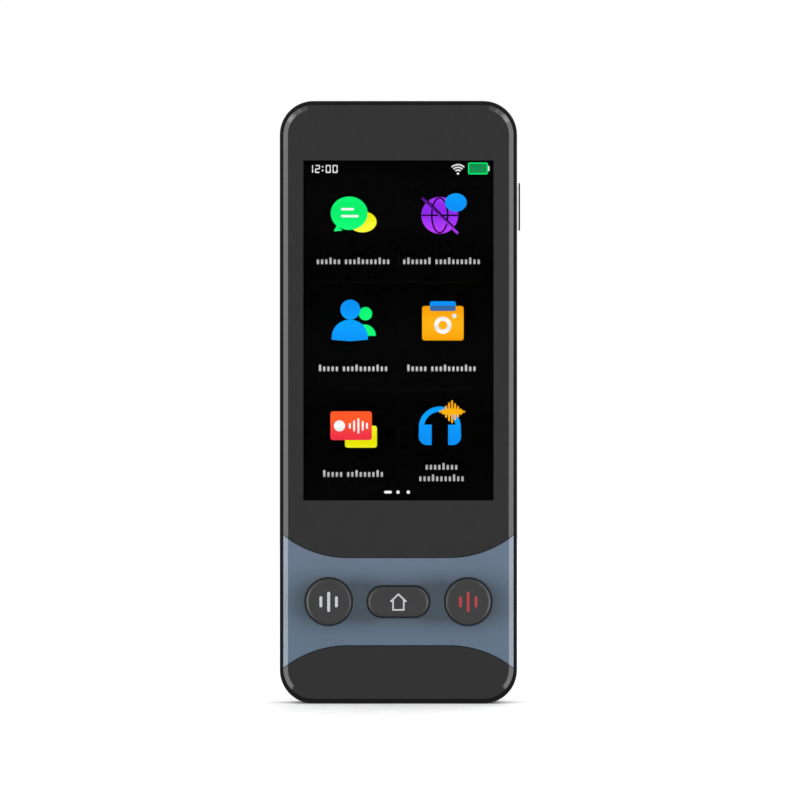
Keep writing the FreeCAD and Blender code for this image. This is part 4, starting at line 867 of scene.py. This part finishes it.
corner = arc(6.7, 13.3, 0.3, 0, 90, 9)
step = [(6.2, 13.6), (6.12, 13.52), (5.5, 13.52), (5.42, 13.6), (4.75, 13.6), (4.55, 13.42)]
ring_section = [(7.0, 12.2), *corner, *step, (4.55, 12.6), (3.8, 12.6), (3.8, 12.2)]
turned("ring_of_camera", "dark_aluminium", CAMERA_X, CAMERA_Z, ring_section, "camera_ring", bore=True)

dome = [(2.0 * across, 11.1 + 0.3 * rise) for across, rise in arc(0, 0, 1, 0, 81, 9)]
turned("lens_dome", "window_glass", CAMERA_X, CAMERA_Z, [(2.0, 10.9), *dome, (0.1, 11.4)], "camera_lens")

# Fresnel steps moulded into the flash lens spread its light
fresnel = [(r + d, h) for r in (1.6, 1.2, 0.8, 0.4) for d, h in ((0.1, 13.0), (0.02, 12.9), (-0.1, 12.9))]
turned(
    "flash_fresnel", "flash_plastic", CAMERA_X, FLASH_Z,
    [(1.5, 8.4), (1.5, 12.2), (2.0, 12.2), (2.0, 12.92), (1.92, 13.0), *fresnel], "flash_lens", steps=64,
)

# The window is printed black outside a clear sight in front of the lens
SIGHT_RADIUS = 2.7
disc = Shape()
sight = [disc.ring(circle(CAMERA_X, CAMERA_Z, SIGHT_RADIUS), depth) for depth in (12.6, 13.3)]
disc_steps = ((4.5, 12.6), (4.5, 13.22), (4.42, 13.3))
rings = [disc.ring(circle(CAMERA_X, CAMERA_Z, radius), depth) for radius, depth in disc_steps]
disc.wall(*rings)
disc.lid(rings[0], sight[0])
disc.lid(rings[-1], sight[1])
disc.lid(sight[0], finish=1)
disc.lid(sight[1], finish=1)
disc.done(
    "window_disc", "housing", "window_glass", (finishes["window_glass"], window_finish), "camera_window"
)

# Stage, lights and camera, in metres
BOX_SIDE, BOX_AHEAD, FLOOR_RADIUS = 0.50, -0.64, 1.3
PART_MIDDLE, PART_TOP = (0, 0, 0.079), (0, 0, 0.148)


def soft_box(name, at, aim, wide, high, radiance):
    """A studio soft box that shines a set radiance towards a point."""
    lamp = bpy.data.lights.new(name, "AREA")
    lamp.shape, lamp.size, lamp.size_y = "RECTANGLE", wide, high
    lamp.energy = radiance * wide * high * math.pi
    holder = bpy.data.objects.new(name, lamp)
    holder.location = at
    holder.rotation_euler = (Vector(aim) - Vector(at)).to_track_quat("-Z", "Y").to_euler()
    holder.visible_camera = False
    bpy.context.scene.collection.objects.link(holder)


for name, side in (("left_box", -1), ("right_box", 1)):
    soft_box(name, (side * BOX_SIDE, BOX_AHEAD, PART_MIDDLE[2]), PART_MIDDLE, 0.15, 1.1, 5.4)
soft_box("back_box", (0.7, 1.0, 0.9), PART_MIDDLE, 0.8, 0.8, 2.0)
soft_box("top_box", (0, 0.1, 1.7), PART_MIDDLE, 2.4, 2.4, 0.35)
# Smaller boxes carry the rim's highlight round the upper corners, where it fades
for turn, radiance in ((36, 4.6), (50, 2.8), (64, 1.5)):
    rise, out = BOX_SIDE * math.sin(math.radians(turn)), BOX_SIDE * math.cos(math.radians(turn))
    for side in (-1, 1):
        at = (side * out, BOX_AHEAD, 0.2 + rise)
        soft_box(f"corner_box_{turn}_{side}", at, PART_TOP, 0.14, 0.14, radiance)

world = bpy.data.worlds.new("studio")
world.use_nodes = True
world.node_tree.nodes["Background"].inputs[0].default_value = tone("#ffffff")
world.node_tree.nodes["Background"].inputs[1].default_value = 1.0
bpy.context.scene.world = world

# Painted studio floor: plain, pale, faintly uneven
floor_finish = grained("painted_studio_floor", "#f0f0f0", "#f7f7f7", 6, (0.6, 0.8), 0.02, IOR=1.4)
floor_shape = bmesh.new()
bmesh.ops.create_circle(floor_shape, cap_ends=True, segments=96, radius=FLOOR_RADIUS)
floor_mesh = bpy.data.meshes.new("floor")
floor_shape.to_mesh(floor_mesh)
floor_shape.free()
floor_mesh.materials.append(floor_finish)
floor = bpy.data.objects.new("floor", floor_mesh)
bpy.context.scene.collection.objects.link(floor)
# The floor stays out of reflections, so that the rim mirrors the soft boxes down to its lower end
floor.visible_glossy = False

camera_data = bpy.data.cameras.new("camera")
camera_data.lens, camera_data.sensor_width = 200, 36
camera_data.clip_start, camera_data.clip_end = 0.01, 20
camera = bpy.data.objects.new("camera", camera_data)
camera.location = (0.00041, -1.1666, 0.07935)
camera.rotation_euler = (math.radians(90), 0, 0)
bpy.context.scene.collection.objects.link(camera)
bpy.context.scene.camera = camera
bpy.context.scene.view_settings.view_transform = "Standard"
